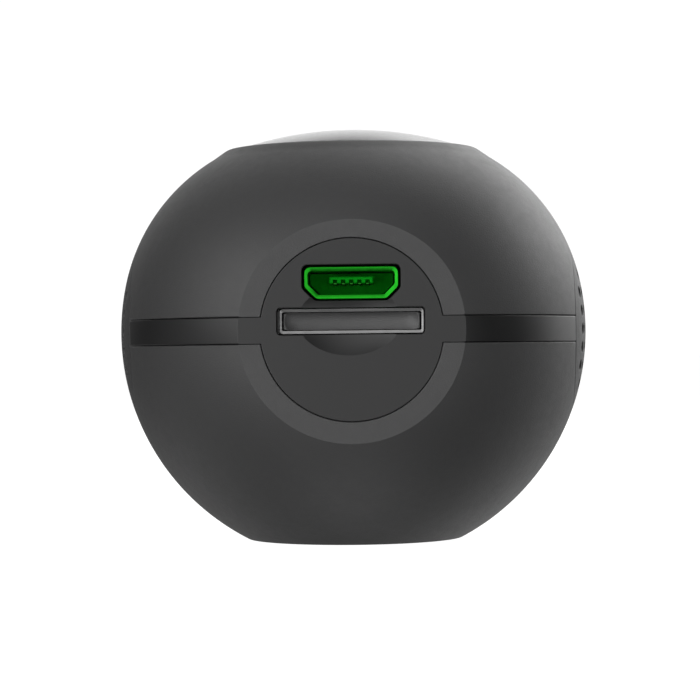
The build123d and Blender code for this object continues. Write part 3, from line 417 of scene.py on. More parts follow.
def plastic(name, base, rough=0.5, var=0.12, grain=0.00003, grain_scale=9000.0, spec=0.5,
            edge=0.00006, wear=None, smudge=0.08, coat=0.0, coat_rough=0.2, rough_var=0.05, tint=None):
    """moulded plastic: fine spark-eroded grain, slight tone drift, handling marks"""
    m = Mat(name)
    broad = m.noise(140.0, 2.0, 0.5)
    fine = m.noise(1500.0, 4.0, 0.6)
    grit = m.noise(grain_scale, 2.0, 0.6)
    marks = m.noise(420.0, 6.0, 0.7, 1.2)
    dark = tuple(c * (1 - var) for c in base)
    light = tuple(c * (1 + var) for c in base)
    col = m.mix(m.remap(broad, 0.3, 0.7, 0.0, 1.0), dark, light)
    col = m.mix(m.remap(fine, 0.35, 0.75, 0.0, 0.35), col, tuple(c * (1 + 1.6 * var) for c in base))
    if wear:
        col = m.mix(m.math("MULTIPLY", m.wear(), 0.35), col, wear)
    r = m.math("ADD", m.remap(marks, 0.45, 0.75, 0.0, smudge), m.remap(fine, 0.3, 0.7, rough - rough_var, rough + rough_var))
    m.set(Base_Color=col, Roughness=r, Specular_IOR_Level=spec)
    n = m.edge_round(edge) if edge else None
    m.set(Normal=m.bump(grit, 0.55, grain, n))
    if coat:
        m.set(Coat_Weight=coat, Coat_Roughness=coat_rough)
    if tint:
        m.set(Specular_Tint=tint)
    return m.m


def metal(name, base, rough=0.3, brushed=(400.0, 12000.0, 400.0), grain=0.000006, tint=0.12, wear=None, edge=0.00004, metallic=1.0):
    """rolled or stamped metal: fine drawn lines, faint stains, worn edges"""
    m = Mat(name)
    mp = m.node("ShaderNodeMapping")
    mp.inputs["Scale"].default_value = brushed
    m.link(m.tc.outputs["Object"], mp.inputs["Vector"])
    n = m.node("ShaderNodeTexNoise")
    n.inputs["Scale"].default_value = 1.0
    n.inputs["Detail"].default_value = 4.0
    m.link(mp.outputs[0], n.inputs["Vector"])
    lines = n.outputs["Fac"]
    stain = m.noise(900.0, 4.0, 0.6, 0.6)
    col = m.mix(m.remap(stain, 0.35, 0.75, 0.0, 1.0), base, tuple(c * (1 - tint) for c in base))
    if wear:
        col = m.mix(m.math("MULTIPLY", m.wear(), 0.6), col, wear)
    m.set(Base_Color=col, Metallic=metallic,
          Roughness=m.math("ADD", m.remap(lines, 0.3, 0.7, rough * 0.75, rough * 1.2), m.remap(stain, 0.5, 0.8, 0.0, 0.08)))
    m.set(Normal=m.bump(lines, 0.4, grain, m.edge_round(edge) if edge else None))
    return m.m


def glass(name, tint, rough=0.02, ior=1.5, alpha_tint=1.0, bumpy=0.0):
    m = Mat(name)
    dust = m.noise(2600.0, 5.0, 0.65, 0.4)
    m.set(Base_Color=m.mix(m.remap(dust, 0.55, 0.8, 0.0, 0.25), tint, tuple(min(1.0, c * 1.15 + 0.01) for c in tint)),
          Roughness=m.remap(dust, 0.45, 0.8, rough, rough + 0.05), IOR=ior, Transmission_Weight=alpha_tint)
    if bumpy:
        m.set(Normal=m.bump(m.noise(60.0, 1.0), 0.2, bumpy))
    return m.m


def laminate(name):
    """circuit board: solder mask over fine copper runs"""
    m = Mat(name)
    br = m.node("ShaderNodeTexBrick")
    br.inputs["Scale"].default_value = 900.0
    br.inputs["Mortar Size"].default_value = 0.012
    br.inputs["Color1"].default_value = (0, 0, 0, 1)
    br.inputs["Color2"].default_value = (0.25, 0.25, 0.25, 1)
    br.inputs["Mortar"].default_value = (1, 1, 1, 1)
    m.link(m.tc.outputs["Object"], br.inputs["Vector"])
    weave = m.noise(5000.0, 2.0)
    tone = m.noise(300.0, 3.0)
    base = m.mix(m.remap(tone, 0.3, 0.7, 0.0, 1.0), (0.008, 0.045, 0.022), (0.012, 0.065, 0.03))
    col = m.mix(m.math("MULTIPLY", br.outputs["Fac"], 0.7), base, (0.03, 0.13, 0.06))
    m.set(Base_Color=col, Roughness=m.remap(weave, 0.3, 0.7, 0.22, 0.38))
    m.set(Normal=m.bump(m.math("ADD", br.outputs["Fac"], m.math("MULTIPLY", weave, 0.3)), 0.4, 0.00002))
    return m.m


def woven(name, base):
    m = Mat(name)
    w1 = m.node("ShaderNodeTexWave", wave_type="BANDS", bands_direction="Y")
    w2 = m.node("ShaderNodeTexWave", wave_type="BANDS", bands_direction="Z")
    for w in (w1, w2):
        w.inputs["Scale"].default_value = 1200.0
        w.inputs["Distortion"].default_value = 0.3
        m.link(m.tc.outputs["Object"], w.inputs["Vector"])
    k = m.math("MULTIPLY", w1.outputs["Fac"], w2.outputs["Fac"])
    m.set(Base_Color=m.mix(k, tuple(c * 0.4 for c in base), base), Roughness=m.remap(k, 0.0, 1.0, 0.9, 0.7))
    m.set(Normal=m.bump(k, 0.6, 0.00006))
    return m.m


M = {
    "shell_plastic": plastic("shell_plastic", (0.024, 0.024, 0.0243), rough=0.55, var=0.03, spec=0.5, wear=(0.045, 0.045, 0.046), smudge=0.04, rough_var=0.03),
    "band_plastic": plastic("band_plastic", (0.006, 0.006, 0.0062), rough=0.39, var=0.05, grain=0.000003, spec=0.38, wear=(0.02, 0.02, 0.02), smudge=0.03, rough_var=0.01),
    "grille_plastic": plastic("grille_plastic", (0.018, 0.018, 0.0184), rough=0.56, var=0.04, wear=(0.04, 0.04, 0.04), smudge=0.04),
    "window_glass": glass("window_glass", (0.56, 0.56, 0.57), rough=0.015, ior=1.52),
    "seal_rubber": plastic("seal_rubber", (0.012, 0.012, 0.012), rough=0.75, grain=0.00004, edge=0.00004),
    "mask_plastic": plastic("mask_plastic", (0.010, 0.010, 0.011), rough=0.42, grain=0.00002),
    "mesh_fabric": woven("mesh_fabric", (0.018, 0.018, 0.018)),
    "pad_rubber": plastic("pad_rubber", (0.020, 0.020, 0.020), rough=0.72, grain=0.00008, grain_scale=3500.0),
    "screw_steel": metal("screw_steel", (0.46, 0.46, 0.47), rough=0.32),
    "button_plastic": plastic("button_plastic", (0.010, 0.010, 0.0104), rough=0.32, grain=0.000006, spec=0.4, wear=(0.03, 0.03, 0.03)),
    "light_pipe_plastic": plastic("light_pipe_plastic", (0.55, 0.58, 0.60), rough=0.35, grain=0.00001),
    "usb_metal": metal("usb_metal", (0.012, 0.275, 0.013), rough=0.44, wear=(0.014, 0.33, 0.015), brushed=(9000.0, 500.0, 500.0)),
    "usb_plastic": plastic("usb_plastic", (0.0015, 0.125, 0.004), rough=0.5, var=0.15, grain=0.00001, tint=(0.02, 1.0, 0.04)),
    "contact_gold": metal("contact_gold", (0.02, 0.17, 0.018), rough=0.34, edge=None),
    "socket_plastic": plastic("socket_plastic", (0.035, 0.035, 0.036), rough=0.5),
    "socket_steel": metal("socket_steel", (0.19, 0.19, 0.19), rough=0.44, wear=(0.23, 0.23, 0.23), brushed=(300.0, 9000.0, 9000.0)),
    "spring_steel": metal("spring_steel", (0.5, 0.5, 0.5), rough=0.25, edge=None),
    "card_plastic": plastic("card_plastic", (0.030, 0.030, 0.0303), rough=0.42, var=0.05, wear=(0.06, 0.06, 0.06)),
    "board_laminate": laminate("board_laminate"),
    "chip_plastic": plastic("chip_plastic", (0.018, 0.018, 0.018), rough=0.55),
    "module_steel": metal("module_steel", (0.55, 0.55, 0.54), rough=0.34),
    "sensor_ceramic": plastic("sensor_ceramic", (0.06, 0.045, 0.08), rough=0.12, grain=0.000004, coat=0.8),
    "filter_glass": glass("filter_glass", (0.45, 0.80, 0.74), rough=0.01),
    "lens_glass": glass("lens_glass", (0.86, 0.90, 0.96), rough=0.01, ior=1.6),
    "barrel_metal": metal("barrel_metal", (0.022, 0.022, 0.023), rough=0.42, wear=(0.2, 0.2, 0.2), metallic=0.6),
    "holder_plastic": plastic("holder_plastic", (0.016, 0.016, 0.016), rough=0.5),
    "led_resin": plastic("led_resin", (0.05, 0.018, 0.045), rough=0.10, grain=0.000002, coat=1.0, coat_rough=0.05),
    "sensor_resin": plastic("sensor_resin", (0.40, 0.36, 0.26), rough=0.15, grain=0.000002, coat=0.8),
    "status_resin": plastic("status_resin", (0.7, 0.7, 0.62), rough=0.3),
    "flex_film": plastic("flex_film", (0.30, 0.13, 0.02), rough=0.3, var=0.15, coat=0.5),
    "connector_plastic": plastic("connector_plastic", (0.60, 0.56, 0.48), rough=0.45),
    "lead_insulation": plastic("lead_insulation", (0.28, 0.015, 0.012), rough=0.5),
    "capsule_metal": metal("capsule_metal", (0.62, 0.62, 0.62), rough=0.28),
    "speaker_metal": metal("speaker_metal", (0.06, 0.06, 0.06), rough=0.45, metallic=0.5),
    "magnet_metal": metal("magnet_metal", (0.62, 0.61, 0.58), rough=0.22),
    "cone_paper": plastic("cone_paper", (0.03, 0.03, 0.03), rough=0.8, grain=0.00010, grain_scale=2500.0),
    "battery_foil": metal("battery_foil", (0.66, 0.67, 0.69), rough=0.38),
    "chassis_plastic": plastic("chassis_plastic", (0.030, 0.030, 0.032), rough=0.5),
}

# every CAD node gets the finish of its material slot
slots = {s["node"]: s["material_slot"] for s in frame["record"]["subparts"]}
for name, o in nodes.items():
    o.data.materials.clear()
    o.data.materials.append(M[slots[name]])

# ------------------------------------------------------------------ outer body
SEG = 256


def nose_h(rad, r):
    return NOSE_CH + math.sqrt(rad * rad - (r - NOSE_CR) ** 2)


def ball_arc(rad, h0, h1, n):
    a0, a1 = math.asin(h0 / rad), math.asin(h1 / rad)
    return arc(0, 0, rad, a0, a1, n)


def nose_arc(rad, n, r_end):
    """from the knee up to radius r_end"""
    a0 = KNEE
    a1 = math.atan2(nose_h(rad, r_end) - NOSE_CH, r_end - NOSE_CR)
    return arc(NOSE_CR, NOSE_CH, rad, a0, a1, n)


def opening_cutter(name, axis, r, sign, edge_at, soft):
    """round cutter with a flared mouth that leaves a small chamfer at edge_at"""
    far = 26.0
    near = 10.0
    prof = [
        (0, sign * near),
        (r, sign * near),
        (r, sign * (edge_at - soft)),
        (r + soft, sign * edge_at),
        (r + soft + (far - edge_at), sign * far),
        (0, sign * far),
    ]
    return lathe(name, prof, 192, axis)


def body_openings(tag):
    return [
        opening_cutter("cut_port" + tag, "Y", DISC_R + 0.05, -1, FACET_Y, 0.05),
        opening_cutter("cut_button" + tag, "Y", 5.05, 1, 19.36, 0.06),
        opening_cutter("cut_right" + tag, "X", CAP_R + 0.05, 1, 18.66, 0.06),
        opening_cutter("cut_left" + tag, "X", CAP_R + 0.05, -1, 18.66, 0.06),
    ]


def flat_port_face(tag):
    return block("cut_face" + tag, (-30, -40, ZC - 30), (30, -FACET_Y, ZC + 30))


def thick_port_wall(o, tag, lo, hi):
    """the wall behind the flat face: fills the cavity in front of y = -16.3"""
    plug = lathe(
        "plug" + tag,
        [(0, -17.4), (8.85, -17.4), (8.85, -16.3), (0, -16.3)],
        128,
        "Y",
    )
    keep = block("keep" + tag, (-12, -20, ZC + lo), (12, -10, ZC + hi))
    cut(plug, keep, op="INTERSECT")
    return cut(o, plug, op="UNION")


# lens-side shell
g = BAND_H + 0.05
prof = [(math.sqrt(IN_R**2 - g * g), g)]
prof += [(math.sqrt(BALL_R**2 - g * g) - 0.07, g)]
prof += ball_arc(BALL_R, g + 0.07, BALL_R * math.sin(KNEE), 6)
prof += nose_arc(NOSE_R, 30, 12.0)[1:]
prof += [(11.4, 15.22), (11.0, 15.50), (10.86, 15.585), (10.70, 15.655), (10.52, 15.685), (10.42, 15.68), (10.36, 15.64)]
prof += [(10.35, 15.55), (10.35, 14.55), (9.4, 14.55), (9.4, 12.95), (12.2, 12.95)]
prof += list(reversed(nose_arc(NOSE_IN, 20, 12.2)))
prof += list(reversed(ball_arc(IN_R, g + 0.4, IN_R * math.sin(KNEE), 4)))[1:]
shell_top = lathe("shell_lens_side", prof, SEG)
cut(shell_top, flat_port_face("_t"))
thick_port_wall(shell_top, "_t", g, 12)
for x, y in ((12.3, -8.6), (-12.3, -8.6), (10.0, 10.0), (-10.0, 10.0)):
    top = nose_h(NOSE_IN, math.hypot(x, y) - 1.7) - 0.0
    boss = lathe(
        "boss",
        [(0.81, 3.42), (1.7, 3.42), (1.7, nose_h(NOSE_IN, math.hypot(x, y)) + 0.2), (0.81, nose_h(NOSE_IN, math.hypot(x, y)) + 0.2)],
        40,
        "Z",
        (x, y, ZC),
    )
    cut(shell_top, boss, op="UNION")
cut(shell_top, *body_openings("_t"))
piece(shell_top, "front_shell", "camera_body", M["shell_plastic"], normal=outer_normal)

# base-side shell
prof = [(0, -15.75), (math.sqrt(IN_R**2 - 15.75**2), -15.75)]
prof += ball_arc(IN_R, -15.6, -g - 0.4, 26)
prof += [(math.sqrt(IN_R**2 - g * g), -g), (math.sqrt(BALL_R**2 - g * g) - 0.07, -g)]
prof += list(reversed(ball_arc(BALL_R, -17.72, -g - 0.07, 44)))
prof += [(9.20, -17.745), (9.16, -17.75), (8.40, -17.75), (8.36, -17.71), (8.36, -16.93), (0, -16.93)]
shell_base = lathe("shell_base_side", prof, SEG)
cut(shell_base, flat_port_face("_b"))
thick_port_wall(shell_base, "_b", -12, -g)
for k in range(3):
    a = math.radians(90 + 120 * k)
    cut(shell_base, drum("post", 2.1, -15.8, -13.85, "Z", (6.3 * math.cos(a), 6.3 * math.sin(a), ZC), 40), op="UNION")
for k in range(3):
    a = math.radians(90 + 120 * k)
    c = (6.3 * math.cos(a), 6.3 * math.sin(a), ZC)
    hole = lathe("hole", [(0, -17.5), (1.4, -17.5), (1.4, -15.9), (0.85, -15.9), (0.85, -13), (0, -13)], 40, "Z", c)
    cut(shell_base, hole)
cut(shell_base, *body_openings("_b"))
piece(shell_base, "rear_shell", "camera_body", M["shell_plastic"], normal=outer_normal)


# middle band, made as one ring and cut to its two halves
def band_blank(tag):
    e = 0.05
    p = [(17.5, -2.4), (18.10, -2.4), (18.18, -2.32), (18.18, -BAND_H)]
    p += [(math.sqrt(BALL_R**2 - BAND_H**2) - e, -BAND_H)]
    p += ball_arc(BALL_R, -BAND_H + e, BAND_H - e, 8)
    p += [(math.sqrt(BALL_R**2 - BAND_H**2) - e, BAND_H)]
    p += [(18.18, BAND_H), (18.18, 2.32), (18.10, 2.4), (17.5, 2.4)]
    ring = lathe("band_blank" + tag, p, SEG)
    cut(
        ring,
        block("c1", (-30, -40, ZC + BAND_H), (30, -16.24, ZC + 6)),
        block("c2", (-30, -40, ZC - 6), (30, -16.24, ZC - BAND_H)),
        flat_port_face(tag),
        drum("c3", CAP_R + 0.06, 10, 26, "X", segs=192),
        drum("c4", CAP_R + 0.06, -26, -10, "X", segs=192),
    )
    return ring


def usb_outline(w, h, low_cut, r, grow=0.0):
    """receptacle outline, wide at the top, cut corners at the bottom"""
    x, y = w / 2 + grow, h / 2 + grow
    c = low_cut + 0.586 * grow
    return rounded_poly(
        [
            (x, y, r), (-x, y, r), (-x, -y + c, r), (-x + c, -y, r),
            (x - c, -y, r), (x, -y + c, r),
        ],
        5,
    )


port = band_blank("_p")
cut(port, block("half", (-30, 0, ZC - 10), (30, 30, ZC + 10)))
disc = lathe(
    "disc",
    [(0, -16.2), (DISC_R - 0.04, -16.2), (DISC_R, -16.24), (DISC_R, -FACET_Y + 0.04), (DISC_R - 0.015, -FACET_Y + 0.012), (DISC_R - 0.05, -FACET_Y), (0, -FACET_Y)],
    192,
    "Y",
)
cut(port, disc, op="UNION")
# openings with softened edges
o1 = usb_outline(7.5, 2.57, 0.95, 0.50, 0.17)
o2 = usb_outline(7.5, 2.57, 0.95, 0.53, 0.23)
o3 = usb_outline(7.5, 2.57, 0.95, 0.53, 0.60)
zu, zs = ZC + USB_Z, ZC + SLOT_Z
usb_cut = from_bm(
    "usb_cut",
    loops_bm([in_y(o1, -15.0, zu), in_y(o1, -FACET_Y + 0.06, zu), in_y(o2, -FACET_Y, zu), in_y(o3, -FACET_Y - 0.37, zu)]),
)
shift_x = lambda pts, dx: [(x + dx, y) for x, y in pts]
r1 = shift_x(rounded_rect(11.77, 2.14, 0.32), -0.065)
r2 = shift_x(rounded_rect(11.89, 2.26, 0.38), -0.065)
r3 = shift_x(rounded_rect(12.63, 3.0, 0.6), -0.065)
slot_cut = from_bm(
    "slot_cut",
    loops_bm([in_y(r1, -15.0, zs), in_y(r1, -FACET_Y + 0.06, zs), in_y(r2, -FACET_Y, zs), in_y(r3, -FACET_Y - 0.37, zs)]),
)
# finger scoop, turned about a line parallel to X
AX, RX = 22.78, 11.75
sprof = [(0, -7.2)]
for i in range(61):
    x = -7.2 + 14.4 * i / 60
    depth = (AX - 17.07) - (RX - math.sqrt(RX * RX - x * x))
    sprof.append((depth, x))
sprof.append((0, 7.2))
scoop = lathe("scoop", sprof, 256, "X", (-0.17, -AX, ZC + 0.78))
cut(port, scoop, usb_cut, slot_cut)
lugs = []
for s in (1, -1):
    lug = drum("lug", 1.8, 2.38, 3.38, "Z", (s * 12.3, -8.6, ZC), 48)
    cut(port, lug, op="UNION")
    arm = from_bm(
        "arm",
        loops_bm(
            [
                [(s * 11.5, -10.0, ZC + h), (s * 13.6, -12.6, ZC + h), (s * 15.5, -9.6, ZC + h), (s * 13.0, -7.2, ZC + h)]
                for h in (2.38, 3.38)
            ]
        ),
    )
    cut(arm, drum("trim", 17.9, 0, 6, "Z", segs=SEG), op="INTERSECT")
    cut(port, arm, op="UNION")
    cut(port, drum("bore", 0.95, 1, 6, "Z", (s * 12.3, -8.6, ZC), 40))


def port_normal(p):
    out = outer_normal(p)
    # dish of the finger scoop
    dx, dy, dh = p.x + 0.17, p.y + AX, p.z - ZC - 0.78
    if abs(dx) < 7:
        rho = math.hypot(dy, dh)
        want = (AX - 17.07) - (RX - math.sqrt(RX * RX - dx * dx))
        if abs(rho - want) < 0.006 and rho > 1:
            slope = -dx / math.sqrt(RX * RX - dx * dx)
            out.append(Vector((slope, -dy / rho, -dh / rho)).normalized())
    return out


piece(port, "port_band", "camera_body", M["band_plastic"], normal=port_normal)

button_ring = band_blank("_q")
cut(button_ring, block("half", (-30, -30, ZC - 10), (30, 0, ZC + 10)))
ball_prof = [(0, -20.0)] + arc(0, 0, 20.0, -math.pi / 2 + 0.02, math.pi / 2 - 0.02, 96) + [(0, 20.0)]


def ball_disc(name, r, y0, rim, n=10, rad=BALL_R, dish=None):
    """round plug about +Y whose outer face follows the ball; rim is the edge chamfer"""
    edge = math.sqrt(rad * rad - (r - rim) ** 2)
    pts = [(0, y0), (r, y0), (r, math.sqrt(rad * rad - r * r) - rim)]
    for i in range(n + 1):
        q = (r - rim) * (1 - i / n)
        pts.append((q, math.sqrt(rad * rad - q * q)))
    return lathe(name, pts, 192, "Y")


wide = ball_disc("wide", 5.0, 17.2, 0.05)
cut(button_ring, wide, op="UNION")
for s in (1, -1):
    cut(button_ring, drum("lug", 1.8, 2.38, 3.38, "Z", (s * 10.0, 10.0, ZC), 48), op="UNION")
    arm = from_bm(
        "arm",
        loops_bm(
            [
                [(s * 9.0, 11.0, ZC + h), (s * 12.9, 14.6, ZC + h), (s * 14.6, 12.9, ZC + h), (s * 11.0, 9.0, ZC + h)]
                for h in (2.38, 3.38)
            ]
        ),
    )
    cut(arm, drum("trim", 17.9, 0, 6, "Z", segs=SEG), op="INTERSECT")
    cut(button_ring, arm, op="UNION")
    cut(button_ring, drum("bore", 0.95, 1, 6, "Z", (s * 10.0, 10.0, ZC), 40))
bore = lathe(
    "bore",
    [(0, 15), (3.7, 15), (3.7, 18.3), (2.95, 18.3), (2.95, 19.72), (3.03, 19.80), (4.0, 20.8), (0, 20.8)],
    128,
    "Y",
)
pin = lathe("pin", [(0, 15), (0.45, 15), (0.45, 18.68), (0.56, 18.84), (1.2, 19.6), (0, 19.6)], 48, "Y", (6.8, 0, ZC + 0.4))
pipe_hole = drum("pipe_hole", 0.62, 15, 23, "Y", (-6.8, 0, ZC), 64)
cut(button_ring, bore, pin, pipe_hole)
piece(button_ring, "button_band", "camera_body", M["band_plastic"], normal=outer_normal)

# ------------------------------------------------------------------ side grilles
def surface_x(y, h):
    if h <= BALL_R * math.sin(KNEE):
        return math.sqrt(BALL_R**2 - y * y - h * h)
    r = NOSE_CR + math.sqrt(NOSE_R**2 - (h - NOSE_CH) ** 2)
    return math.sqrt(r * r - y * y)


for sign, node, title in ((1, "right_grille", "grille_right"), (-1, "left_grille", "grille_left")):
    # cap cut from the same turned body as the shells
    prof = [(0, -9)]
    prof += ball_arc(BALL_R, -8.5, BALL_R * math.sin(KNEE), 40)
    prof += nose_arc(NOSE_R, 14, 16.2)[1:]
    prof += [(0, nose_h(NOSE_R, 16.2))]
    cap = lathe(title, prof, 384, "Z")
    keep = lathe(
        "keep",
        [(0, 16.65), (CAP_R, 16.65), (CAP_R, 18.60), (CAP_R - 0.07, 18.70), (CAP_R - 0.07, 21.0), (0, 21.0)],
        192,
        "X",
    )
    inside = lathe(
        "inside",
        [(0, 15.0), (6.5, 15.0), (6.5, math.sqrt(18.8**2 - 6.5**2))]
        + [(6.5 * (1 - i / 12), math.sqrt(18.8**2 - (6.5 * (1 - i / 12)) ** 2)) for i in range(1, 13)],
        128,
        "X",
    )
    if sign < 0:
        for c in (keep, inside):
            c.data.transform(Matrix.Scale(-1, 4, (1, 0, 0)))
            c.data.flip_normals()
    cut(cap, keep, op="INTERSECT")
    cut(cap, inside)
    drills = []
    for i in range(-3, 4):
        for j in range(-3, 4):
            if abs(i) + abs(j) == 6:
                continue
            y, h = i * HOLE_PITCH, j * HOLE_PITCH
            xs = surface_x(y, h)
            p = [(0, 15.5), (0.45, 15.5), (0.45, xs - 0.09), (0.53, xs + 0.01), (0.75, xs + 0.4), (0, xs + 0.4)]
            b = lathe_bm(p, 28, "X", (0, y + 0.0017, ZC + h + 0.0011))
            if sign < 0:
                bmesh.ops.transform(b, matrix=Matrix.Scale(-1, 4, (1, 0, 0)), verts=b.verts)
            drills.append(b)
    cut(cap, join_bm("drills", drills))
    piece(cap, node, "camera_body", M["grille_plastic"], normal=outer_normal)

meshes = []
for sign in (1, -1):
    p = [(6.35 * i / 12, math.sqrt(18.74**2 - (6.35 * i / 12) ** 2)) for i in range(13)]
    p += [(6.35 * (1 - i / 12), math.sqrt(18.60**2 - (6.35 * (1 - i / 12)) ** 2)) for i in range(13)]
    b = lathe_bm(p, 96, "X", (0, 0, ZC))
    if sign < 0:
        bmesh.ops.transform(b, matrix=Matrix.Scale(-1, 4, (1, 0, 0)), verts=b.verts)
    meshes.append(b)
piece(join_bm("dust_meshes", meshes), "grille_meshes", "camera_body", M["mesh_fabric"])

# ------------------------------------------------------------------ window group
def dome(r0, h0, h1, n):
    s = h1 - h0
    big = (r0 * r0 + s * s) / (2 * abs(s))
    out = []
    for i in range(n + 1):
        r = r0 * (1 - i / n)
        d = big - math.sqrt(big * big - r * r)
        out.append((r, h1 - d if s > 0 else h1 + d))
    return out


prof = [(9.2, 14.76), (10.22, 14.76), (10.25, 14.79), (10.25, 15.50), (10.235, 15.555), (10.19, 15.60)]
prof += dome(10.15, 15.612, 17.35, 48)
prof += list(reversed(dome(9.2, 14.76, 16.1, 40)))[:-1]
piece(lathe("window_dome", prof, 224), "front_window", "camera_body", M["window_glass"], angle=35)

prof = [(9.45, 14.56), (10.3, 14.56), (10.3, 14.70), (10.25, 14.745), (9.5, 14.745), (9.45, 14.70)]
piece(lathe("window_seal", prof, 160), "window_gasket", "camera_body", M["seal_rubber"])

# mask plate: stepped rings that fall towards the lens
prof = [
    (6.85, 13.55), (9.30, 13.55), (9.32, 13.60), (9.32, 14.40), (9.25, 14.49), (9.05, 14.50),
    (9.00, 14.44), (8.95, 14.40), (8.05, 14.40), (7.60, 14.40), (7.45, 14.36), (7.35, 14.22), (6.95, 14.16), (6.85, 14.10),
]
mask = lathe("mask_plate", prof, 224)
holes = []
for k in range(6):
    a = math.radians(15 + 60 * k)
    b = lathe_bm([(0, 13), (1.08, 13), (1.08, 14.30), (1.20, 14.42), (1.8, 15.2), (0, 15.2)], 48, "Z", (LED_R * math.cos(a), LED_R * math.sin(a), ZC))
    holes.append(b)
a = math.radians(45)
holes.append(lathe_bm([(0, 13), (0.6, 13), (0.6, 14.32), (0.7, 14.42), (1.2, 15.2), (0, 15.2)], 40, "Z", (LED_R * math.cos(a), LED_R * math.sin(a), ZC)))
cut(mask, join_bm("holes", holes))
for k in range(3):
    a = math.radians(105 + 120 * k)
    cut(mask, drum("foot", 0.5, 12.93, 13.6, "Z", (8.3 * math.cos(a), 8.3 * math.sin(a), ZC), 32), op="UNION")
piece(mask, "window_mask", "camera_body", M["mask_plastic"])

# lens barrel with a threaded lower part, grip notches and a bevelled mouth
prof = [(3.65, 5.6), (5.75, 5.6)]
h = 5.7
while h < 10.9:
    prof += [(5.78, h), (6.0, h + 0.14), (6.0, h + 0.20), (5.78, h + 0.34)]
    h += 0.5
prof += [(5.7, 11.0), (5.7, 11.2), (6.36, 11.2), (6.4, 11.25), (6.4, 14.08), (6.36, 14.17), (6.28, 14.2), (5.9, 14.2), (5.3, 13.85), (5.25, 13.8), (5.25, 11.6), (4.45, 11.6), (4.45, 8.6), (3.65, 8.6)]
barrel = lathe("barrel", prof, 192)
notch = [lathe_bm([(0, 11.0), (0.28, 11.0), (0.28, 13.1), (0.2, 13.2), (0, 13.2)], 20, "Z", (6.5 * math.cos(math.radians(15 * k)), 6.5 * math.sin(math.radians(15 * k)), ZC)) for k in range(24)]
cut(barrel, join_bm("notch", notch))
piece(barrel, "lens_barrel", "camera_body", M["barrel_metal"])

prof = [(5.2, 11.64), (5.2, 13.18), (5.15, 13.2)]
prof += dome(4.4, 13.2, 13.95, 28)
prof += list(reversed(dome(4.0, 11.64, 12.3, 24)))
piece(lathe("lens_front", prof, 160), "front_lens_element", "camera_body", M["lens_glass"], angle=35)
prof = [(4.4, 8.64), (4.4, 10.4)] + dome(3.9, 10.4, 11.2, 24) + list(reversed(dome(3.8, 8.64, 9.0, 20)))
piece(lathe("lens_middle", prof, 128), "middle_lens_element", "camera_body", M["lens_glass"], angle=35)
prof = [(3.6, 6.4), (3.6, 7.5)] + dome(3.1, 7.5, 8.2, 20) + list(reversed(dome(3.6, 6.4, 6.0, 20)))[:-1]
piece(lathe("lens_rear", prof, 128), "rear_lens_element", "camera_body", M["lens_glass"], angle=35)

ring = lathe("lens_ring", [(4.55, 13.3), (4.62, 13.24), (5.2, 13.24), (5.2, 13.86), (5.16, 13.9), (4.85, 13.9), (4.60, 13.66), (4.55, 13.55)], 160)
cut(ring, block("spanner", (-7, -0.4, ZC + 13.65), (7, 0.4, ZC + 14.2)))
piece(ring, "lens_retaining_ring", "camera_body", M["barrel_metal"])

piece(
    lathe("lens_collar", [(6.45, 12.4), (6.8, 12.4), (6.8, 14.05), (6.72, 14.15), (6.53, 14.15), (6.45, 14.08)], 128),
    "lens_light_seal", "camera_body", M["seal_rubber"],
)

# infrared lights: square package with a domed lens
leds = []
for k in range(6):
    a = math.radians(15 + 60 * k)
    cx, cy = LED_R * math.cos(a), LED_R * math.sin(a)
    rot = lambda pts, h, a=a, cx=cx, cy=cy: [
        (cx + x * math.cos(a) - y * math.sin(a), cy + x * math.sin(a) + y * math.cos(a), ZC + h) for x, y in pts
    ]
    leds.append(loops_bm([rot(rounded_rect(2.1, 2.1, 0.12, 3), 12.92), rot(rounded_rect(2.1, 2.1, 0.12, 3), 13.42), rot(rounded_rect(2.0, 2.0, 0.1, 3), 13.47)]))
    d = [(0, 13.35), (0.97, 13.35)] + arc(0, 13.3, 0.98, 0.18, math.pi / 2, 14)[:-1] + [(0, 14.28)]
    leds.append(lathe_bm(d, 48, "Z", (cx, cy, ZC)))
piece(join_bm("infrared_lights", leds), "infrared_leds", "camera_body", M["led_resin"], clean=False)

# ------------------------------------------------------------------ charging socket
def tube_y(name, stations):
    """closed sleeve through outlines: stations of (outline, y, z centre)"""
    return from_bm(name, loops_bm([in_y(o, y, z) for o, y, z in stations], closed=True))


W, H, T, TV = 7.5, 2.57, 0.30, 0.35
out_l = lambda g: usb_outline(W, H, 0.95, max(0.12, 0.50 + g), g)
in_l = lambda g: usb_outline(W - 2 * T, H - 2 * TV, 0.84, max(0.08, 0.26 + g), g)
sleeve = tube_y(
    "socket_sleeve",
    [
        (out_l(0), -12.1, zu),
        (out_l(0), -17.60, zu),
        (out_l(-0.015), -17.66, zu),
        (out_l(-0.05), -17.70, zu),
        (out_l(-0.08), -17.695, zu),
        (in_l(0.03), -17.63, zu),
        (in_l(0.01), -17.61, zu),
        (in_l(0), -17.57, zu),
        (in_l(0), -12.1, zu),
    ],
)
# the side walls' lip slopes inward less than the top and bottom one
for v in sleeve.data.vertices:
    if -17.645 < v.co.y < -17.605:
        v.co.y -= 0.035 * min(1.0, max(0.0, (abs(v.co.x) - 2.9) / 0.5))
piece(sleeve, "usb_shell", "camera_body", M["usb_metal"], angle=35)

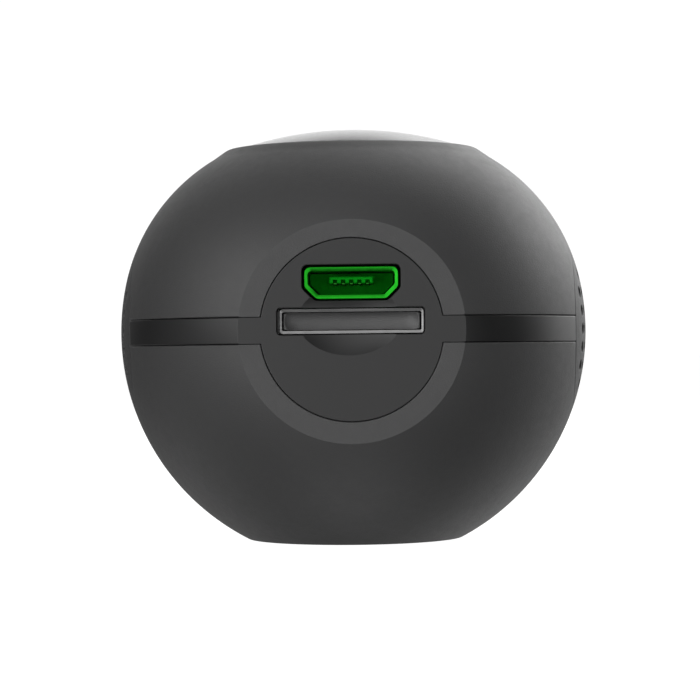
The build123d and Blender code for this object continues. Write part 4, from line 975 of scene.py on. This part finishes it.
tongue = []
back = usb_outline(W - 2 * T - 0.12, H - 2 * TV - 0.12, 0.84, 0.2)
tongue.append(loops_bm([in_y(back, -12.15, zu), in_y(back, -13.3, zu), in_y(usb_outline(W - 2 * T - 0.2, H - 2 * TV - 0.2, 0.84, 0.2), -13.35, zu)]))
tz = zu + 0.24
tongue_obj = join_bm("socket_tongue", tongue)
bar = rounded_rect(3.5, 0.56, 0.07, 3)
bar_s = rounded_rect(3.3, 0.40, 0.06, 3)
tongue_bar = from_bm("bar", loops_bm([in_y(bar, -13.2, tz), in_y(bar, -16.80, tz), in_y(bar_s, -16.90, tz)]))
cut(tongue_obj, tongue_bar, op="UNION")
for i in range(5):
    x = (i - 2) * 0.65
    cut(tongue_obj, block("groove", (x - 0.16, -17.1, tz - 0.40), (x + 0.16, -13.4, tz - 0.20)))
    cut(tongue_obj, block("notch", (x - 0.17, -17.1, tz - 0.41), (x + 0.17, -16.0, tz + 0.02)))
piece(tongue_obj, "usb_tongue", "camera_body", M["usb_plastic"])

pins = []
for i in range(5):
    x = (i - 2) * 0.65
    sec = lambda y, z, w=0.13, t=0.07: [(x - w, y, z - t), (x + w, y, z - t), (x + w, y, z + t), (x - w, y, z + t)]
    zc = zu - 0.06
    pins.append(
        loops_bm([sec(-13.40, zc), sec(-15.2, zc), sec(-15.5, zc), sec(-16.0, zc), sec(-16.2, zc + 0.03, 0.11, 0.04)])
    )
piece(join_bm("socket_pins", pins), "usb_contacts", "camera_body", M["contact_gold"], clean=False)

# ------------------------------------------------------------------ card socket
can = tube_y(
    "card_mouth",
    [
        (rounded_rect(11.5, 2.0, 0.24), -15.20, zs),
        (rounded_rect(11.5, 2.0, 0.24), -16.96, zs),
        (rounded_rect(11.48, 1.98, 0.23), -16.99, zs),
        (rounded_rect(11.44, 1.94, 0.21), -17.00, zs),
        (rounded_rect(11.14, 1.50, 0.13), -16.935, zs),
        (rounded_rect(11.11, 1.47, 0.12), -16.91, zs),
        (rounded_rect(11.10, 1.46, 0.12), -16.88, zs),
        (rounded_rect(11.10, 1.46, 0.12), -15.20, zs),
    ],
)
plates = [
    block("p1", (-7.0, -15.4, ZC - 0.30), (7.0, -0.8, ZC - 0.15)),
    block("p2", (6.85, -15.4, ZC - 0.30), (7.0, -0.8, ZC + 1.70)),
    block("p3", (-7.0, -15.4, ZC - 0.30), (-6.85, -0.8, ZC + 1.70)),
]
front_plate = block("p4", (-7.0, -15.4, ZC - 0.30), (7.0, -15.25, ZC + 1.70))
cut(front_plate, from_bm("hole", loops_bm([in_y(rounded_rect(11.3, 1.7, 0.12), -16, zs), in_y(rounded_rect(11.3, 1.7, 0.12), -15, zs)])))
for p in plates:
    cut(can, p, op="UNION")
cut(can, front_plate, op="UNION")
piece(can, "card_socket_shield", "camera_body", M["socket_steel"])

# memory card with a thick grip end, rounded corners and soft edges
card_pts = [
    (-5.5, -16.2, 0.1), (5.5, -16.2, 0.1), (5.5, -8.9, 0.25), (4.2, -7.6, 0.25),
    (4.2, -2.35, 0.3), (3.7, -1.85, 0.2), (-5.0, -1.85, 0.2), (-5.5, -2.35, 0.3),
]


def card_loop(inset, h):
    p = rounded_poly(card_pts, 5)
    cx, cy = -0.2, -9.3
    out = []
    for x, y in p:
        d = Vector((x - cx, y - cy))
        out.append((cx + d.x * (1 - inset / 5.5), cy + d.y * (1 - inset / 7.5), ZC + h))
    return out


card = from_bm("card", loops_bm([card_loop(0.07, 0.27), card_loop(0.0, 0.34), card_loop(0.0, 0.90), card_loop(0.07, 0.97)]))
grip = from_bm(
    "grip",
    loops_bm(
        [
            in_y(rounded_rect(10.78, 1.24, 0.12, 4), -16.85, zs),
            in_y(rounded_rect(10.88, 1.34, 0.15, 4), -16.82, zs),
            in_y(rounded_rect(10.92, 1.38, 0.16, 4), -16.75, zs),
            in_y(rounded_rect(10.92, 1.38, 0.16, 4), -15.80, zs),
        ]
    ),
)
cut(card, grip, op="UNION")
# shallow hollow in the grip for a fingernail: nearly flat, turned up at both ends
def hollow_y(x):
    """place of the hollow's floor at x"""
    x = abs(x)
    k6, r_end, r_mid, x_mid = math.radians(6), 2.6, 40.0, 4.18
    if x <= x_mid:
        return -16.20 - (r_mid - math.sqrt(r_mid * r_mid - x * x))
    base = -16.20 - r_mid * (1 - math.cos(k6))
    x = min(x, 5.36)
    return base - r_end * (math.cos(k6) - math.cos(math.asin(math.sin(k6) + (x - x_mid) / r_end)))


dish = []
for i in range(75):
    x = -5.55 + 0.15 * i
    flare = max(0.0, abs(x) - 5.36) * 0.67
    sec = [(x, -17.6, zs - 0.9)]
    for k in range(13):
        h = -0.9 + 1.8 * k / 12
        sec.append((x, hollow_y(x) - flare - (1.8 - math.sqrt(3.24 - h * h)), zs + h))
    sec.append((x, -17.6, zs + 0.9))
    dish.append(sec)
cut(card, from_bm("dish", loops_bm(dish)))
piece(card, "memory_card", "card", M["card_plastic"])

# eject spring: closed end coils, one end on the socket and the other on the slider
sx, sh, sr, wire = 6.12, 0.50, 0.33, 0.07
rings = []
turns, count = 6.0, 240
for i in range(count + 1):
    t = i / count
    # pitch eases off at both ends
    y = -1.24 - 2.28 * (t - 0.5 * math.sin(2 * math.pi * t) / (2 * math.pi))
    a = 2 * math.pi * turns * t
    ring = []
    for k in range(10):
        b = 2 * math.pi * k / 10
        rr = sr + wire * math.cos(b)
        ring.append((sx + rr * math.cos(a), y + wire * math.sin(b), ZC + sh + rr * math.sin(a)))
    rings.append(ring)
coil = from_bm("eject_coil", loops_bm(rings))
tidy(coil)
shade(coil, 50)
to_metres(coil)
coil.data.materials.clear()
coil.data.materials.append(M["spring_steel"])
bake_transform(coil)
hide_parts("card_eject_spring")

# ------------------------------------------------------------------ base pad
prof = [(0, -17.0), (8.26, -17.0), (8.3, -17.04), (8.3, -17.68), (8.22, -17.745), (8.1, -17.75), (7.24, -17.75), (7.18, -17.66), (7.12, -17.60), (6.98, -17.60), (6.92, -17.66), (6.86, -17.75), (0, -17.75)]
piece(lathe("foot_pad", prof, 192), "base_pad", "camera_body", M["pad_rubber"])

# ------------------------------------------------------------------ power button
rb = 20.18
prof = [(0, 16.83), (1.45, 16.83), (1.5, 16.88), (1.5, 17.65), (3.4, 17.65), (3.4, 18.23), (2.88, 18.23)]
prof += [(2.88, math.sqrt(rb * rb - 2.88**2) - 0.10), (2.86, math.sqrt(rb * rb - 2.8**2) - 0.04), (2.80, math.sqrt(rb * rb - 2.74**2))]
rd = 6.9
edge_r = 2.55
for i in range(5):
    q = 2.74 - (2.74 - edge_r) * i / 4
    prof.append((q, math.sqrt(rb * rb - q * q)))
c0 = 26.6
for i in range(1, 21):
    q = edge_r * (1 - i / 20)
    y_ball = math.sqrt(rb * rb - q * q)
    y_dish = c0 - math.sqrt(rd * rd - q * q)
    prof.append((q, min(y_ball, y_dish)))
button = lathe("button", prof, 160, "Y")
piece(button, "power_button", "power_button", M["button_plastic"], angle=30)

pipe = lathe("status_light", [(0, 15.0), (0.8, 15.0), (0.8, 15.35), (0.58, 15.35), (0.58, 22), (0, 22)], 64, "Y", (-6.8, 0, ZC))
cut(pipe, lathe("ball", ball_prof[:1] + [(r * 1.0005, h * 1.0005) for r, h in ball_prof[1:-1]] + ball_prof[-1:], 128, "Z"), op="INTERSECT")
piece(pipe, "light_pipe", "camera_body", M["light_pipe_plastic"], normal=outer_normal)

# ------------------------------------------------------------------ stage
bm = bmesh.new()
bmesh.ops.create_grid(bm, x_segments=1, y_segments=1, size=6.0)
for v in bm.verts:
    v.co.z = -0.00002
floor = from_bm("floor", bm)
fm = Mat("floor_paper")
fm.set(
    Base_Color=fm.mix(fm.remap(fm.noise(6.0, 2.0), 0.3, 0.7, 0.0, 1.0), (0.16, 0.16, 0.16), (0.18, 0.18, 0.18)),
    Roughness=0.8,
    Emission_Color=(1, 1, 1),
    Emission_Strength=1.0,
    Specular_IOR_Level=0.1,
)
# seen from below, the floor lets the view through to the underside
fn = fm.m.node_tree
f_out = next(n for n in fn.nodes if n.type == "OUTPUT_MATERIAL")
f_top = next(n for n in fn.nodes if n.type == "BSDF_PRINCIPLED")
f_clear = fn.nodes.new("ShaderNodeBsdfTransparent")
f_side = fn.nodes.new("ShaderNodeNewGeometry")
f_mix = fn.nodes.new("ShaderNodeMixShader")
fn.links.new(f_side.outputs["Backfacing"], f_mix.inputs[0])
fn.links.new(f_top.outputs[0], f_mix.inputs[1])
fn.links.new(f_clear.outputs[0], f_mix.inputs[2])
fn.links.new(f_mix.outputs[0], f_out.inputs["Surface"])
floor.data.materials.append(fm.m)
floor.visible_diffuse = False
floor.visible_glossy = False
floor.visible_shadow = False

# ------------------------------------------------------------------ light and camera
world = bpy.data.worlds.new("studio")
bpy.context.scene.world = world
world.use_nodes = True
wt = world.node_tree
bg = wt.nodes["Background"]
bg.inputs["Color"].default_value = (1, 1, 1, 1)
lp = wt.nodes.new("ShaderNodeLightPath")
mr = wt.nodes.new("ShaderNodeMapRange")
mr.inputs["To Min"].default_value = 0.03
mr.inputs["To Max"].default_value = 1.05
wt.links.new(lp.outputs["Is Camera Ray"], mr.inputs["Value"])
wt.links.new(mr.outputs["Result"], bg.inputs["Strength"])

# soft boxes round the object: azimuth from the front towards +X, elevation,
# brightness; each is 28 degrees wide as the object sees it
BOXES = [
    (-150, -35, 0.68), (-120, -35, 0.86), (120, -35, 0.83), (150, -35, 1.45),
    (-150, -5, 0.15), (-90, -5, 0.40), (-30, -5, 5.64), (0, -5, 1.11),
    (30, -5, 3.46), (120, -5, 1.50), (150, -5, 0.66), (180, -5, 0.90),
    (-150, 25, 1.00), (-60, 25, 3.13), (-30, 25, 2.32), (0, 25, 2.33),
    (120, 25, 5.45), (150, 25, 4.16), (180, 25, 1.30), (-150, 55, 1.33),
    (0, 55, 1.28), (150, 55, 4.06), (0, -85, 2.60), (-60, 10, 2.04),
]
LEVEL = 0.95
FAR = 0.45
SIDE = 2 * FAR * math.tan(math.radians(27))


def soft_edges(light):
    """panel that fades smoothly from its middle to its edges"""
    light.use_nodes = True
    nt = light.node_tree
    emit = next(n for n in nt.nodes if n.type == "EMISSION")
    geo = nt.nodes.new("ShaderNodeNewGeometry")
    sep = nt.nodes.new("ShaderNodeSeparateXYZ")
    nt.links.new(geo.outputs["Parametric"], sep.inputs[0])
    out = None
    for axis in (0, 1):
        turn = nt.nodes.new("ShaderNodeMath")
        turn.operation = "MULTIPLY"
        turn.inputs[1].default_value = 2 * math.pi
        nt.links.new(sep.outputs[axis], turn.inputs[0])
        wave = nt.nodes.new("ShaderNodeMath")
        wave.operation = "COSINE"
        nt.links.new(turn.outputs[0], wave.inputs[0])
        fade = nt.nodes.new("ShaderNodeMath")
        fade.operation = "MULTIPLY_ADD"
        fade.inputs[1].default_value = -0.5
        fade.inputs[2].default_value = 0.5
        nt.links.new(wave.outputs[0], fade.inputs[0])
        if out is None:
            out = fade.outputs[0]
        else:
            both = nt.nodes.new("ShaderNodeMath")
            both.operation = "MULTIPLY"
            nt.links.new(out, both.inputs[0])
            nt.links.new(fade.outputs[0], both.inputs[1])
            out = both.outputs[0]
    nt.links.new(out, emit.inputs["Strength"])


target = Vector((0, 0, 0.001 * ZC))
# the front panels are strong for the dark shell; the glossy window gets weaker
# twins of them, so that it doesn't turn white when it is seen from behind
window = bpy.data.objects["window_dome"]
for_window = bpy.data.collections.new("window_light")
for_window.objects.link(window)
for_rest = bpy.data.collections.new("body_light")
for_rest.objects.link(window)
for co in for_rest.collection_objects:
    co.light_linking.link_state = "EXCLUDE"
PANELS = [(a, e, bright, bright > 1.35 and abs(a) < 75 and e > -60) for a, e, bright in BOXES]
PANELS += [(a, e, 0.30 * bright, None) for a, e, bright, split in PANELS if split]
for i, (a, e, bright, split) in enumerate(PANELS):
    ar, er = math.radians(a), math.radians(e)
    d = Vector((math.sin(ar) * math.cos(er), -math.cos(ar) * math.cos(er), math.sin(er)))
    l = bpy.data.lights.new("box_%02d" % i, "AREA")
    l.shape = "SQUARE"
    l.size = SIDE
    l.energy = LEVEL * bright * math.pi * SIDE * SIDE
    soft_edges(l)
    o = bpy.data.objects.new("box_%02d" % i, l)
    bpy.context.scene.collection.objects.link(o)
    o.location = target + FAR * d
    o.rotation_euler = d.to_track_quat("Z", "Y").to_euler()
    o.visible_camera = False
    if split:
        o.light_linking.receiver_collection = for_rest
    elif split is None:
        o.light_linking.receiver_collection = for_window

cam = bpy.data.cameras.new("camera")
cam_o = bpy.data.objects.new("camera", cam)
bpy.context.scene.collection.objects.link(cam_o)
bpy.context.scene.camera = cam_o
D = 0.216
az, el, roll = math.radians(0.44), math.radians(-0.45), math.radians(0.62)
pos = Vector((math.sin(az) * math.cos(el), -math.cos(az) * math.cos(el), math.sin(el))) * D + Vector((0, 0, 0.001 * ZC))
look = (Vector((0, 0, 0.001 * ZC)) - pos).to_track_quat("-Z", "Y").to_matrix().to_4x4()
cam_o.matrix_world = Matrix.Translation(pos) @ look @ Matrix.Rotation(-roll, 4, "Z")
cam.sensor_width = 36.0
cam.sensor_fit = "HORIZONTAL"
cam.lens = 36.0 * 2497.0 / 700.0
cam.shift_x = -(353.44 - 350.0) / 700.0
cam.shift_y = -(350.0 - 331.47) / 700.0
cam.clip_start = 0.01
cam.clip_end = 10.0
bpy.context.scene.view_settings.view_transform = "Standard"
bpy.context.scene.view_settings.look = "None"

bpy.context.view_layer.update()
